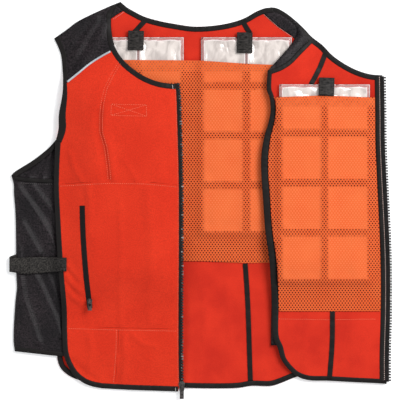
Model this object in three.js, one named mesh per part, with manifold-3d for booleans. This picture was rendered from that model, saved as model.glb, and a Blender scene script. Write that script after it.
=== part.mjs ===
// A zip-front cooling vest, laid flat on its back: the wearer's right front lies closed over the back,
// the left front is turned open. Millimetres, +Z up, +Y towards the neck.
import * as THREE from "three";
import { mergeVertices } from "three/addons/utils/BufferGeometryUtils.js";
import Module from "manifold-3d";

const wasm = await Module();
wasm.setup();

// Overall sizes of the laid-out vest. Every outline table below is in percent of these two.
const layoutWidth = 640;
const layoutLength = 640;
const backCentre = 48.1;

// Cloth, film and trim
const clothThickness = 2;
const meshThickness = 1;
const bindingWidth = 8.5;
const bindingThickness = 3;
const webbingWidth = 25;
const webbingThickness = 1.8;
const tapeWidth = 8;
const tapeThickness = 1;
const pipingWidth = 2.7;
const clearance = 0.3;

// Cooling packs: columns and rows of crowned cells with a flat welded rim
const cellWidth = 73.6;
const cellHeight = 79.4;
const packColumns = 2;
const packRows = 4;
const packThickness = 9;
const rimThickness = 1.2;
const cellSteps = 4;
const packGap = 25.6;
const backPackDown = 9.1;
const leftPackAcross = 69.6;
const leftPackDown = 20.9;
const meshMargin = 9;

// Spaces between the layers
const torsoSpace = 6;
const sideFoldHeight = 8;
const sideFabricThickness = 1.6;
const shoulderFoldHeight = 7;

// Zip fasteners
const zipTapeShow = 3;
const pocketGap = 3;
const zipTapeWidth = 8.5;
const zipBindingWidth = 5.4;
const strapDown = { top: 64.3, foot: 68.1 };
const zipTeethWidth = 4;
const zipTeethThickness = 3;
const pocketSlider = { length: 9, width: 8, pull: 14 };
const frontSlider = { length: 15, width: 9.5, pull: 20 };

const flatness = 0.04;
const floorMargin = 30;
const skyHeight = 120;
const outlineStep = 22;

const pitchX = cellWidth / cellSteps;
const pitchY = cellHeight / cellSteps;
const packWidth = cellWidth * packColumns;
const packHeight = cellHeight * packRows;

const vest = new THREE.Group();

// Places: percent across from the left of the layout, percent down from its top
const placeX = (across) => (across / 100 - 0.5) * layoutWidth;
const placeY = (down) => (0.5 - down / 100) * layoutLength;

function points(columns, rows) {
  const across = columns.indexOf("across");
  const down = columns.indexOf("down");
  return rows.map((row) => new THREE.Vector2(placeX(row[across]), placeY(row[down])));
}

// A smooth edge through the rows of a table, resampled evenly
function edge(rows, step = outlineStep) {
  const corners = points(["across", "down"], rows).map((p) => new THREE.Vector3(p.x, p.y, 0));
  const curve = new THREE.CatmullRomCurve3(corners, false, "centripetal");
  const count = Math.max(2, Math.round(curve.getLength() / step));
  return curve.getSpacedPoints(count).map((p) => new THREE.Vector2(p.x, p.y));
}

// The line beside an edge, at a distance to its left (or right, if negative)
function beside(line, distance) {
  return line.map((point, i) => {
    const before = line[Math.max(0, i - 1)];
    const after = line[Math.min(line.length - 1, i + 1)];
    const along = after.clone().sub(before).normalize();
    return new THREE.Vector2(point.x - along.y * distance, point.y + along.x * distance);
  });
}

// The upright band between two distances beside an edge, one block for each step along it
function band(line, from, to) {
  const near = beside(line, from);
  const far = beside(line, to);
  const blocks = [];
  for (let i = 0; i < line.length - 1; i += 1) {
    const along = line[i + 1].clone().sub(line[i]);
    const turned = (side) => side[i + 1].clone().sub(side[i]).dot(along) <= 0;
    const ends = (side) => (turned(side) ? [side[i].clone().lerp(side[i + 1], 0.5)] : [side[i], side[i + 1]]);
    blocks.push(prism([...ends(near), ...ends(far).reverse()]));
  }
  return wasm.Manifold.union(blocks);
}

function rectangle(x0, x1, y0, y1) {
  return [[x0, y0], [x1, y0], [x1, y1], [x0, y1]].map(([x, y]) => new THREE.Vector2(x, y));
}

function solidOf(geometry) {
  const bare = geometry.clone();
  bare.deleteAttribute("normal");
  bare.deleteAttribute("uv");
  const merged = mergeVertices(bare, 1e-4);
  const mesh = new wasm.Mesh({
    numProp: 3,
    vertProperties: new Float32Array(merged.attributes.position.array),
    triVerts: new Uint32Array(merged.index.array),
  });
  return new wasm.Manifold(mesh);
}

// An upright prism over an outline, from below the floor to above the vest
function prism(outline) {
  const depth = skyHeight + floorMargin;
  const geometry = new THREE.ExtrudeGeometry(new THREE.Shape(outline), { depth, bevelEnabled: false });
  geometry.translate(0, 0, -floorMargin);
  return solidOf(geometry);
}

// A sheet between two height functions, piecewise flat on a net of lines shared by its neighbours
function slab(net, lower, upper, outline) {
  const xs = outline.map((p) => p.x);
  const ys = outline.map((p) => p.y);
  const inside = (lines, low, high) => {
    const first = Math.max(0, lines.findIndex((v) => v > low) - 1);
    const last = lines.findIndex((v) => v >= high);
    return lines.slice(first, (last < 0 ? lines.length - 1 : last) + 1);
  };
  const netX = inside(net.x, Math.min(...xs), Math.max(...xs));
  const netY = inside(net.y, Math.min(...ys), Math.max(...ys));
  const across = netX.length;
  const count = across * netY.length;
  const positions = new Float32Array(count * 6);
  const faces = [];
  netY.forEach((y, j) => netX.forEach((x, i) => {
    const at = j * across + i;
    positions.set([x, y, upper(x, y)], at * 3);
    positions.set([x, y, lower(x, y)], (at + count) * 3);
  }));
  const wall = (a, b) => faces.push(a, a + count, b, b, a + count, b + count);
  for (let j = 0; j < netY.length - 1; j += 1) {
    for (let i = 0; i < across - 1; i += 1) {
      const a = j * across + i;
      const b = a + 1;
      const c = a + across;
      const d = c + 1;
      faces.push(a, b, d, a, d, c);
      faces.push(a + count, d + count, b + count, a + count, c + count, d + count);
    }
  }
  for (let i = 0; i < across - 1; i += 1) {
    const top = (netY.length - 1) * across + i;
    wall(i, i + 1);
    wall(top + 1, top);
  }
  for (let j = 0; j < netY.length - 1; j += 1) {
    const right = j * across + across - 1;
    wall((j + 1) * across, j * across);
    wall(right, right + across);
  }
  const mesh = new wasm.Mesh({ numProp: 3, vertProperties: positions, triVerts: new Uint32Array(faces) });
  return new wasm.Manifold(mesh).intersect(prism(outline));
}

function addSolid(name, solid, colour, roughness, metalness = 0) {
  const data = solid.simplify(flatness).getMesh();
  const geometry = new THREE.BufferGeometry();
  const corners = new Float32Array(data.numVert * 3);
  for (let i = 0; i < data.numVert; i += 1) {
    for (let k = 0; k < 3; k += 1) corners[i * 3 + k] = data.vertProperties[i * data.numProp + k];
  }
  geometry.setAttribute("position", new THREE.BufferAttribute(corners, 3));
  geometry.setIndex(new THREE.BufferAttribute(new Uint32Array(data.triVerts), 1));
  geometry.computeVertexNormals();
  const material = new THREE.MeshStandardMaterial({ color: colour, roughness, metalness });
  const mesh = new THREE.Mesh(geometry, material);
  mesh.name = name;
  vest.add(mesh);
  return mesh;
}

// What is left after the cutters, without the trimmings that fall off at their ends
function cut(solid, ...cutters) {
  const rest = cutters.reduce((left, cutter) => left.subtract(cutter), solid);
  return rest.decompose().reduce((largest, part) => (part.volume() > largest.volume() ? part : largest));
}

const colours = {
  shell: "#e83c22", lining: "#d8332a", mesh: "#f4703a", yoke: "#2a2226", binding: "#1f1d1b",
  strap: "#33302f", piping: "#aeb9c4", pack: "#e8dedd", metal: "#8f9296", zip: "#1a1a1b",
};

// The two nets of lines: one for the back and what lies over it, one for the turned-open front
const backX = placeX(backCentre);
const linesFrom = (start, pitch, before, after) => (
  Array.from({ length: before + after + 1 }, (_, i) => start + (i - before) * pitch));
const linesOut = 22;
const rightLines = linesFrom(backX - packGap / 2, pitchX, linesOut, 0);
const leftLines = linesFrom(backX + packGap / 2, pitchX, 0, linesOut);
const backTopY = placeY(backPackDown);
const rowsUp = 6;
const rowsDown = 32;
const backNet = {
  x: [...rightLines, ...leftLines],
  y: linesFrom(backTopY, pitchY, rowsDown, rowsUp),
};
const leftX = placeX(leftPackAcross);
const leftTopY = placeY(leftPackDown);
const leftNet = {
  x: linesFrom(leftX, pitchX, 6, 24),
  y: linesFrom(leftTopY, pitchY, rowsDown, rowsUp + 6),
};

// Packs by their left and top edges
const packAt = (x, y) => ({ x0: x, x1: x + packWidth, y0: y - packHeight, y1: y });
const backRightPack = packAt(backX - packGap / 2 - packWidth, backTopY);
const backLeftPack = packAt(backX + packGap / 2, backTopY);
const rightFrontPack = packAt(backRightPack.x0 - pitchX, backTopY - cellHeight);
const leftFrontPack = packAt(leftX, leftTopY);

// Thickness of a pack at a point: welded flat round every cell, crowned inside
const cellProfile = [{ share: 0, rise: 0 }, { share: 0.25, rise: 0.85 }, { share: 0.5, rise: 1 }];
function crown(pack, x, y) {
  const rise = (distance, cell) => {
    const within = Math.abs(distance / cell - Math.round(distance / cell));
    const next = cellProfile.findIndex((row) => row.share >= within - 1e-6);
    return cellProfile[next].rise;
  };
  const slack = 0.01;
  const outside = x < pack.x0 - slack || x > pack.x1 + slack || y < pack.y0 - slack || y > pack.y1 + slack;
  if (outside) return -clearance;
  const crownAt = Math.min(rise(x - pack.x0, cellWidth), rise(pack.y1 - y, cellHeight));
  return rimThickness + (packThickness - rimThickness) * crownAt;
}

// Heights over the back
const overCloth = clothThickness + clearance;
const backPacksTop = (x, y) => overCloth + Math.max(crown(backRightPack, x, y), crown(backLeftPack, x, y));
const overPacks = (x, y) => backPacksTop(x, y) + clearance;
const overMesh = (x, y) => overPacks(x, y) + meshThickness + clearance;
const highestMesh = overCloth + packThickness + clearance + meshThickness;

// Heights of the right front: a hill over its own pack, falling in steps of one net line to its edges
const torsoCeiling = highestMesh + torsoSpace;
const rightPackFloor = torsoCeiling + meshThickness + clearance;
const rightHill = rightPackFloor + packThickness + clearance + tapeThickness + clearance;
const hillFall = [1, 0.66, 0.33, 0.1, 0];
const overSideFold = sideFoldHeight + 2 * clearance;
function fall(pack, x, y) {
  const dx = Math.max(pack.x0 + pitchX - x, x - pack.x1 + pitchX, 0) / pitchX;
  const dy = Math.max(pack.y0 + pitchY - y, y - pack.y1 + pitchY, 0) / pitchY;
  const steps = Math.min(Math.max(dx, dy), hillFall.length - 1);
  const low = Math.floor(steps);
  const high = Math.min(low + 1, hillFall.length - 1);
  return hillFall[low] + (hillFall[high] - hillFall[low]) * (steps - low);
}
const hemLevel = bindingThickness + clearance;
const hemStart = placeY(89);
const hemEnd = placeY(94);
const shoulderTip = { across: 13.6, down: 9.75 };
const shoulderNeck = { across: 30.1, down: 0.5 };
const shoulderSlope = 45;
// How far a point lies below the straight line of the right shoulder
function belowShoulder(x, y) {
  const tip = new THREE.Vector2(placeX(shoulderTip.across), placeY(shoulderTip.down));
  const along = new THREE.Vector2(placeX(shoulderNeck.across), placeY(shoulderNeck.down)).sub(tip).normalize();
  return along.y * (x - tip.x) - along.x * (y - tip.y);
}
function frontLow(x, y) {
  const hemShare = Math.min(1, Math.max(0, (y - hemEnd) / (hemStart - hemEnd)));
  const shoulderShare = Math.min(1, Math.max(0, belowShoulder(x, y) / shoulderSlope));
  return hemLevel + (overSideFold - hemLevel) * Math.min(hemShare, shoulderShare);
}
const rightCloth = (x, y) => Math.max(
  overMesh(x, y),
  frontLow(x, y) + (rightHill - frontLow(x, y)) * fall(rightFrontPack, x, y),
);

// The right front's height between the lines of its net
function rightClothAt(x, y) {
  const around = (lines, v) => lines.filter((line) => Math.abs(line - v) <= Math.max(pitchX, pitchY));
  return Math.max(...around(backNet.x, x).flatMap((nx) => around(backNet.y, y).map((ny) => rightCloth(nx, ny))));
}

// Heights of the left front: high where it crosses the back pack, low at its zip
const leftFoldHeight = 5.6;
const leftHigh = highestMesh + leftFoldHeight + 2 * clearance;
const leftLow = 4;
const leftDownTable = [
  { down: 0, rise: 0 }, { down: 4, rise: 0.03 }, { down: 12, rise: 0.6 }, { down: 18, rise: 1 },
  { down: 66, rise: 1 }, { down: 74, rise: 0.45 }, { down: 88, rise: 0.42 }, { down: 96, rise: 0 },
];
function leftRise(y) {
  const down = (0.5 - y / layoutLength) * 100;
  const next = leftDownTable.findIndex((row) => row.down >= down);
  if (next < 0) return 0;
  if (next === 0) return 0;
  const a = leftDownTable[next - 1];
  const b = leftDownTable[next];
  return a.rise + (b.rise - a.rise) * (down - a.down) / (b.down - a.down);
}
const tiltStart = placeX(70);
const tiltEnd = placeX(91);
function leftCloth(x, y) {
  const share = Math.min(1, Math.max(0, (tiltEnd - x) / (tiltEnd - tiltStart)));
  return leftLow + (leftHigh - leftLow) * share * leftRise(y);
}

// Outline tables, percent across and percent down
const shoulderFold = [[30.1, 0.5], [26.5, 2.1], [22.3, 4.15], [19.1, 5.9], [16.6, 8], [13.6, 9.75]];
const rightArmhole = [
  [13.6, 9.75], [14.5, 11.5], [15.3, 13.7], [15.7, 17.5], [15.85, 20.4], [15.7, 23.6],
  [14.8, 28.8], [14.7, 32.5], [14, 35.3],
];
const rightSide = [
  [14, 35.3], [13.7, 40.3], [13.55, 47], [13.9, 54.5], [14.7, 67.8], [15.5, 77], [15.6, 83.5], [15.95, 88.3],
  [16.9, 91.1], [18.5, 93.7], [20.8, 95.6], [23, 96.5], [25.5, 97],
];
const rightHem = [[25.5, 97], [31.9, 97.35], [44, 97.8]];
const rightZip = [
  [44.9, 96.5], [44.8, 91.5], [44.75, 82], [44.8, 72], [44.85, 57.5], [44.8, 44.8], [44.5, 32], [44.1, 22],
];
const rightNeck = [
  [43.6, 21.1], [39.85, 20.6], [36.35, 19.3], [33.2, 17.25], [30.75, 15], [28.8, 12], [27.95, 8.6],
  [27.7, 5.75], [27.9, 3.6], [29, 1.6],
];
const rightYokeSeam = [[28.2, 12.6], [25.4, 14.1], [22.3, 16.1], [19.4, 18.5], [16.4, 20.9]];
const backNeck = [
  [30.6, 1], [31.7, 1.9], [33.6, 3], [36, 4.2], [40, 5.35], [44, 6.1], [48.25, 6.7], [53.2, 6.5], [57.65, 5.75],
  [61.15, 4.6], [64, 3], [66.3, 2.2],
];
const backLeftShoulder = [[66.3, 2.2], [70.2, 3.5], [74.2, 6.7], [79, 11.6], [80.2, 15.2]];
const backLeftSide = [[80.2, 15.2], [77.5, 25], [79, 36], [83, 41.3], [83, 65], [82.6, 86]];
const backHem = [
  [82.6, 86], [80.5, 90.5], [76.5, 93.4], [73.6, 94.3], [70.4, 95.6], [67.85, 96.4], [62.75, 96.4],
  [59.6, 96.9], [50, 97], [40, 96.6], [30, 96.2], [24, 95.4], [19.8, 94.95], [17.2, 93.8], [15.3, 92.1],
  [14.5, 90.2], [14.3, 88.6],
];
const backRightSide = [[14.3, 88.6], [14.3, 60], [14.3, 34]];
const backRightArmhole = [[14.3, 34], [16.2, 23], [15.9, 15], [13.9, 9.75]];
const backYokeSeamRight = [[30.9, 2.7], [28.6, 5.5], [23, 11.5], [16, 18.5]];
const backYokeSeamLeft = [[65.9, 3.6], [69.4, 6.7], [73.5, 9.6], [78.4, 17]];
const sideTop = [[14.9, 33.9], [12.75, 36.5], [10.5, 38.5], [8, 40.35], [5.4, 41.95], [3.2, 43.4]];
const sideFold = [
  [3.2, 43.4], [3.75, 45.5], [3.8, 48], [4.15, 52.8], [4.3, 69], [4.4, 71.8], [4, 75.5], [3.5, 85], [3.8, 87.75],
];
const sideHem = [[3.8, 87.75], [9.6, 88.4], [14.2, 88.9]];
const leftNeck = [
  [67.6, 1.9], [69, 2.05], [71.4, 3.3], [73.7, 5.1], [75.9, 7.15], [77.8, 9.2], [80.5, 11.3], [83, 13.9],
  [86.15, 16.1], [89.35, 17.7], [92.55, 18.65], [95.6, 18.9],
];
const leftZip = [
  [95.6, 19.1], [95.75, 28.75], [95.8, 35.3], [96.2, 44.8], [96.9, 59.75], [97.15, 69], [97.1, 79], [96.85, 88.3],
  [96.85, 95.4],
];
const leftHem = [
  [96.6, 95.9], [94.65, 95.75], [88.25, 95.45], [81.9, 95.1], [77.1, 94.95], [74.25, 94], [72.3, 92.4],
  [70.4, 89.85], [69.45, 86.7],
];
const leftSide = [
  [69.45, 86.7], [68.5, 84.5], [68.4, 77], [68.3, 72.25], [67.85, 65.25], [66.75, 57], [66.25, 49.5],
  [65.85, 44], [65.8, 39.4], [66.4, 34.25], [67.3, 30.5], [67.7, 27.25], [67.4, 24.4], [66.75, 22.5], [66.9, 18],
];
const leftYokeSeam = [[78.6, 10.1], [75.25, 13.5], [72.7, 16.1], [70.15, 17.7], [66.6, 18.9]];
const leftShoulderRidge = [[67.3, 2.4], [70.2, 3.8], [72.7, 5.1], [74.1, 6.6], [74.2, 8.3], [73.5, 10.1], [66.8, 17.9]];

const whole = (...edges) => edges.flat();
const lift = (height, rise) => (x, y) => height(x, y) + rise;
const floor = () => 0;

// An edge's trim lies on one side of it: -1 where the outline runs clockwise, 1 where it runs the other way
const trimOf = (line, side, from, to) => band(line, side * from, side * to);
const bindingOf = (line, side) => trimOf(line, side, -bindingThickness, bindingWidth);
const roomFor = (line, side) => (
  trimOf(line, side, -bindingWidth, 0).add(trimOf(line, side, 0, bindingWidth + clearance)));
const strip = (line, width) => band(line, -width / 2, width / 2);
const region = (rows) => prism(points(["across", "down"], rows));

// Back: one flat cloth on the floor, its neck and hem bound
const backNeckLine = edge(backNeck);
const backHemLine = edge(backHem);
const backOutline = whole(
  backNeckLine, edge(backLeftShoulder), edge(backLeftSide), backHemLine,
  edge(backRightSide), edge(backRightArmhole), edge(shoulderFold).reverse(),
);
const seamRight = edge(backYokeSeamRight);
const seamLeft = edge(backYokeSeamLeft);
const outsideRight = points(["across", "down"], [[5, 20], [5, -4], [32, -4]]);
const outsideLeft = points(["across", "down"], [[88, 16], [88, -4], [65, -4]]);
const yokeSideRight = (gap) => prism([...beside(seamRight, gap), ...outsideRight]);
const yokeSideLeft = (gap) => prism([...beside(seamLeft, gap), ...outsideLeft]);
const backSheet = slab(backNet, floor, () => clothThickness, backOutline);
const backNeckRoom = roomFor(backNeckLine, -1);
const backHemRoom = roomFor(backHemLine, -1);
addSolid("back_panel", cut(backSheet, yokeSideRight(clearance), yokeSideLeft(-clearance), backNeckRoom, backHemRoom),
  colours.lining, 0.85);
const backTrim = slab(backNet, floor, () => bindingThickness, backOutline);
addSolid("back_neck_binding", cut(backTrim.intersect(bindingOf(backNeckLine, -1))), colours.binding, 0.7);
addSolid("back_hem_binding", cut(backTrim.intersect(bindingOf(backHemLine, -1))), colours.binding, 0.7);

// Packs and the mesh pocket on the back
function addPack(name, net, pack, under) {
  const outline = rectangle(pack.x0, pack.x1, pack.y0, pack.y1);
  const top = (x, y) => under(x, y) + crown(pack, x, y);
  const solid = slab({ x: net.x, y: net.y }, under, top, outline);
  addSolid(name, cut(solid), colours.pack, 0.25);
}
addPack("back_right_pack", backNet, backRightPack, () => overCloth);
addPack("back_left_pack", backNet, backLeftPack, () => overCloth);
const backMesh = [
  [22, 15], [30.5, 15], [50, 15.15], [61.5, 15.95], [68.75, 16.25], [74.6, 16.4],
  [74.6, 65.5], [67.5, 65.65], [61.75, 65.8], [50, 65.3], [22, 65.3],
];
const backMeshOutline = points(["across", "down"], backMesh);
addSolid("back_mesh_pocket", cut(slab(backNet, overPacks, lift(overPacks, meshThickness), backMeshOutline)),
  colours.mesh, 0.8);

// Right front: cloth over its pack, over its mesh pocket, above the space for the wearer
const rightSideLine = edge(rightSide);
const rightArmholeLine = edge(rightArmhole);
const rightHemLine = edge(rightHem);
const rightNeckLine = edge(rightNeck);
const rightZipLine = edge(rightZip);
const rightOutline = whole(
  edge(shoulderFold), rightArmholeLine, rightSideLine, rightHemLine, rightZipLine, rightNeckLine,
);
const zipReach = zipTapeShow + zipTeethWidth + 3 * clearance;
const rightZipOutline = whole(
  beside(rightZipLine, -zipReach), beside(rightZipLine, clearance).reverse(),
);
const rightLoop = whole(rightArmholeLine, rightSideLine.slice(1), rightHemLine.slice(1));
const rightYokeLine = edge(rightYokeSeam);
const shoulderSide = points(["across", "down"], [[5, 24], [5, -4], [31, -4]]);
const rightYokeRegion = (gap) => prism([...beside(rightYokeLine, gap), ...shoulderSide]);
const rightEdgeRoom = roomFor(rightLoop, 1);
const rightNeckRoom = roomFor(rightNeckLine, 1);
const rightZipRoom = trimOf(rightZipLine, 1, -zipTapeShow - zipTeethWidth - bindingWidth, 0);
const sliderSpace = ({ x, y }, size) => prism(rectangle(
  x - size.width / 2 - clearance, x + size.width / 2 + clearance,
  y - size.length / 2 - clearance, y + size.length / 2 + clearance,
));
const zipFoot = rightZipLine[0];
const frontPlace = { x: zipFoot.x + (zipTapeShow + zipTeethWidth) / 2, y: zipFoot.y };
const frontRoom = sliderSpace(frontPlace, frontSlider);
const rightSheet = slab(backNet, rightCloth, lift(rightCloth, clothThickness), rightOutline);
const pocketLine = edge([[20.6, 51.4], [20.8, 58], [21.5, 68], [22.5, 77]]);
const pocketSlot = (extra) => strip(pocketLine, tapeWidth + 2 * extra);
const pipingSpace = pipingWidth + 2 * clearance;
addSolid("right_front_panel", cut(rightSheet, rightYokeRegion(0), rightEdgeRoom, rightNeckRoom,
  rightZipRoom, pocketSlot(clearance), frontRoom), colours.shell, 0.8);
const rightTrim = slab(backNet, rightCloth, lift(rightCloth, bindingThickness), rightOutline);
const armholeEnd = placeY(35.3);
const above = prism(rectangle(placeX(-10), placeX(60), armholeEnd + clearance / 2, placeY(-10)));
const below = prism(rectangle(placeX(-10), placeX(60), placeY(110), armholeEnd - clearance / 2));
const edgeBinding = rightTrim.intersect(bindingOf(rightLoop, 1));
const shoulderRoom = trimOf(edge(shoulderFold), 1, -bindingWidth, sideFabricThickness + clearance);
addSolid("right_armhole_binding", cut(edgeBinding.intersect(above), shoulderRoom), colours.binding, 0.7);
addSolid("right_front_edge_binding", cut(edgeBinding.intersect(below), rightZipRoom, frontRoom), colours.binding, 0.7);
addSolid("right_front_neck_binding", cut(rightTrim.intersect(bindingOf(rightNeckLine, 1)), shoulderRoom, rightZipRoom),
  colours.binding, 0.7);
const pipingBand = band(rightYokeLine, -clearance, -clearance - pipingWidth);
addSolid("reflective_piping", cut(rightTrim.intersect(pipingBand), rightEdgeRoom, rightNeckRoom),
  colours.piping, 0.35, 0.3);

// Right yoke: from the back, round the fold of the shoulder, to the front
const rightYokeTop = rightSheet.subtract(rightEdgeRoom).subtract(rightNeckRoom)
  .intersect(rightYokeRegion(-pipingSpace));
const rightYokeBack = slab(backNet, floor, () => sideFabricThickness, backOutline)
  .intersect(yokeSideRight(0)).subtract(backNeckRoom);
const shoulderWall = slab(backNet, floor, lift(rightCloth, clothThickness), rightOutline)
  .intersect(trimOf(edge(shoulderFold), 1, -clearance, sideFabricThickness))
  .subtract(rightEdgeRoom).subtract(rightNeckRoom).subtract(backNeckRoom);
addSolid("right_yoke", cut(rightYokeTop.add(rightYokeBack).add(shoulderWall)), colours.yoke, 0.8);

// Right front's mesh pocket and pack, hung below its cloth
const meshLevel = (x, y) => Math.min(torsoCeiling, rightCloth(x, y) - meshThickness - 2 * clearance);
const rightMeshTop = rightFrontPack.y1 - tapeWidth * 2.5;
const rightMeshOutline = rectangle(
  rightFrontPack.x0 - meshMargin / 2, rightFrontPack.x1 + meshMargin / 3,
  rightFrontPack.y0 - meshMargin, rightMeshTop,
);
addSolid("right_front_mesh_pocket", cut(slab(backNet, meshLevel, lift(meshLevel, meshThickness), rightMeshOutline)),
  colours.mesh, 0.8);
addPack("right_front_pack", backNet, rightFrontPack, () => rightPackFloor);

// Pocket on the right front: a slit in the cloth with its zip tape, and the bag below it
const bagLevel = lift(rightCloth, -tapeThickness - clearance);
addSolid("pocket_bag", cut(slab(backNet, bagLevel, lift(bagLevel, tapeThickness),
  points(["across", "down"], [[18, 50.5], [24.8, 50.5], [24.8, 71], [18, 71]]))), colours.zip, 0.8);
const pocketMouth = band(pocketLine.slice(1, -1), -pocketGap / 2, pocketGap / 2);
const pocketEnd = pocketLine[pocketLine.length - 1];
const pocketPlace = { x: pocketEnd.x, y: pocketEnd.y + pocketSlider.length * 1.2 };
const pocketTape = slab(backNet, rightCloth, lift(rightCloth, tapeThickness * 2), rightOutline).intersect(pocketSlot(0));
addSolid("pocket_zip_tape", cut(pocketTape, pocketMouth), colours.zip, 0.6);

// A zip slider with a bridge on top, and the pull whose crossbar turns under the bridge
function block(x0, x1, y0, y1, z0, z1) {
  const geometry = new THREE.BoxGeometry(x1 - x0, y1 - y0, z1 - z0);
  geometry.translate((x0 + x1) / 2, (y0 + y1) / 2, (z0 + z1) / 2);
  return solidOf(geometry);
}
const bridge = { width: 3, length: 8, post: 1.2, tunnel: 2.2, bar: 1.2 };
const crossbar = { side: 1.4, fromPost: 0.9, window: 5, rail: 1.2 };
const sliderBodyHeight = 4.6;
function addSlider(name, place, size, level) {
  const top = level + sliderBodyHeight;
  const half = bridge.length / 2;
  const corner = size.width * 0.25;
  const outline = new THREE.Shape([
    [-size.width / 2, size.length / 2 - corner], [-size.width / 2 + corner, size.length / 2],
    [size.width / 2 - corner, size.length / 2], [size.width / 2, size.length / 2 - corner],
    [size.width * 0.4, -size.length / 2], [-size.width * 0.4, -size.length / 2],
  ].map(([x, y]) => new THREE.Vector2(x + place.x, y + place.y)));
  const body = new THREE.ExtrudeGeometry(outline, { depth: sliderBodyHeight, bevelEnabled: false });
  body.translate(0, 0, level);
  const sunk = 0.2;
  const barTop = top + bridge.tunnel + bridge.bar;
  const x0 = place.x - bridge.width / 2;
  const x1 = place.x + bridge.width / 2;
  const low = place.y - half;
  const high = place.y + half;
  const solid = solidOf(body)
    .add(block(x0, x1, low, low + bridge.post, top - sunk, barTop))
    .add(block(x0, x1, high - bridge.post, high, top - sunk, barTop))
    .add(block(x0, x1, low, high, top + bridge.tunnel, barTop));
  addSolid(`${name}_slider`, cut(solid), colours.metal, 0.35, 0.9);
  const axisY = low + bridge.post + crossbar.fromPost + crossbar.side / 2;
  const axisZ = top + bridge.tunnel / 2;
  const z0 = axisZ - crossbar.side / 2;
  const z1 = axisZ + crossbar.side / 2;
  const inner = bridge.width / 2 + 2 * clearance;
  const outer = inner + crossbar.rail;
  const start = axisY + crossbar.side / 2;
  const windowEnd = start - crossbar.side - crossbar.window;
  const tab = block(place.x - outer, place.x + outer, start - size.pull, start, z0, z1);
  const window = block(place.x - inner, place.x + inner, windowEnd, start - crossbar.side, z0 - 1, z1 + 1);
  addSolid(`${name}_pull`, cut(tab, window), colours.metal, 0.35, 0.9);
}
const pocketLevel = Math.max(...[-1, 1].flatMap((sx) => [-1, 0, 1].map((sy) => rightClothAt(
  pocketPlace.x + sx * pocketSlider.width / 2, pocketPlace.y + sy * pocketSlider.length / 2,
)))) + clothThickness + clearance;
addSlider("pocket", pocketPlace, pocketSlider, pocketLevel);

// Front zip, right half: tape along the cloth, teeth along the tape, slider at the foot
const tapeFrom = -clearance;
const tapeTo = tapeFrom - zipTapeShow;
const teethFrom = tapeTo - clearance;
const teethTo = teethFrom - zipTeethWidth;
const rightZipSheet = slab(backNet, rightCloth, lift(rightCloth, zipTeethThickness), rightZipOutline);
const rightTapeSheet = slab(backNet, rightCloth, lift(rightCloth, tapeThickness * 1.5), rightZipOutline);
addSolid("right_zip_tape", cut(rightTapeSheet.intersect(band(rightZipLine, tapeFrom, tapeTo)), frontRoom),
  colours.zip, 0.6);
addSolid("right_zip_teeth", cut(rightZipSheet.intersect(band(rightZipLine, teethFrom, teethTo)), frontRoom),
  colours.zip, 0.4);
addSlider("front", frontPlace, frontSlider, hemLevel + clearance);

// Right side panel: a fold of stretch fabric, open towards the wearer, bound at its top and hem
const sideTopLine = edge(sideTop);
const sideFoldLine = edge(sideFold);
const sideHemLine = edge(sideHem);
function plate(outline, z0, z1) {
  const geometry = new THREE.ExtrudeGeometry(new THREE.Shape(outline), { depth: z1 - z0, bevelEnabled: false });
  geometry.translate(0, 0, z0);
  return solidOf(geometry);
}
const sideOutline = (inset) => whole(
  sideTopLine.slice(0, -1), beside(sideFoldLine, inset).slice(inset > 0 ? 1 : 0, inset > 0 ? -1 : undefined),
  sideHemLine.slice(1),
);
const foldRounding = [{ inset: 0, rise: 0.26 }, { inset: 0.2, rise: 0.1 }, { inset: 0.45, rise: 0 }];
const roundedFold = foldRounding.map(({ inset, rise }) => plate(
  sideOutline(inset * sideFoldHeight), rise * sideFoldHeight, sideFoldHeight * (1 - rise),
));
const beyond = (line) => [...line.map((p) => p.clone())];
const sideCavity = plate(
  whole([new THREE.Vector2(placeX(20), placeY(30))], beyond(sideTopLine.slice(0, -1)).map((p) => p.add(new THREE.Vector2(0, 30))),
    beside(sideFoldLine, sideFoldHeight * 0.3), [new THREE.Vector2(placeX(5), placeY(92)), new THREE.Vector2(placeX(20), placeY(92))]),
  sideFabricThickness, sideFoldHeight - sideFabricThickness,
);
const backRoom = plate(rectangle(placeX(14.3) - clearance, placeX(60), placeY(100), placeY(0)), -1, overCloth);
const sideShell = wasm.Manifold.union(roundedFold).subtract(sideCavity).subtract(backRoom);
const bandBeside = placeX(20);
const aboveLevel = (level) => plate(rectangle(placeX(0), bandBeside, placeY(100), placeY(0)), level, sideFoldHeight * 2);
const bindingLayer = aboveLevel(sideFoldHeight / 2);
const bindingRoom = aboveLevel(sideFoldHeight / 2 - clearance);
const sideTopRoom = roomFor(sideTopLine, 1).intersect(bindingRoom);
const sideHemRoom = roomFor(sideHemLine, 1).intersect(bindingRoom);
addSolid("right_side_panel", cut(sideShell, sideTopRoom, sideHemRoom), colours.yoke, 0.85);
const sideBindings = { right_side_top_binding: sideTopLine, right_side_hem_binding: sideHemLine };
for (const [name, line] of Object.entries(sideBindings)) {
  addSolid(name, cut(sideShell.intersect(bindingOf(line, 1)).intersect(bindingLayer)), colours.binding, 0.7);
}

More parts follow.
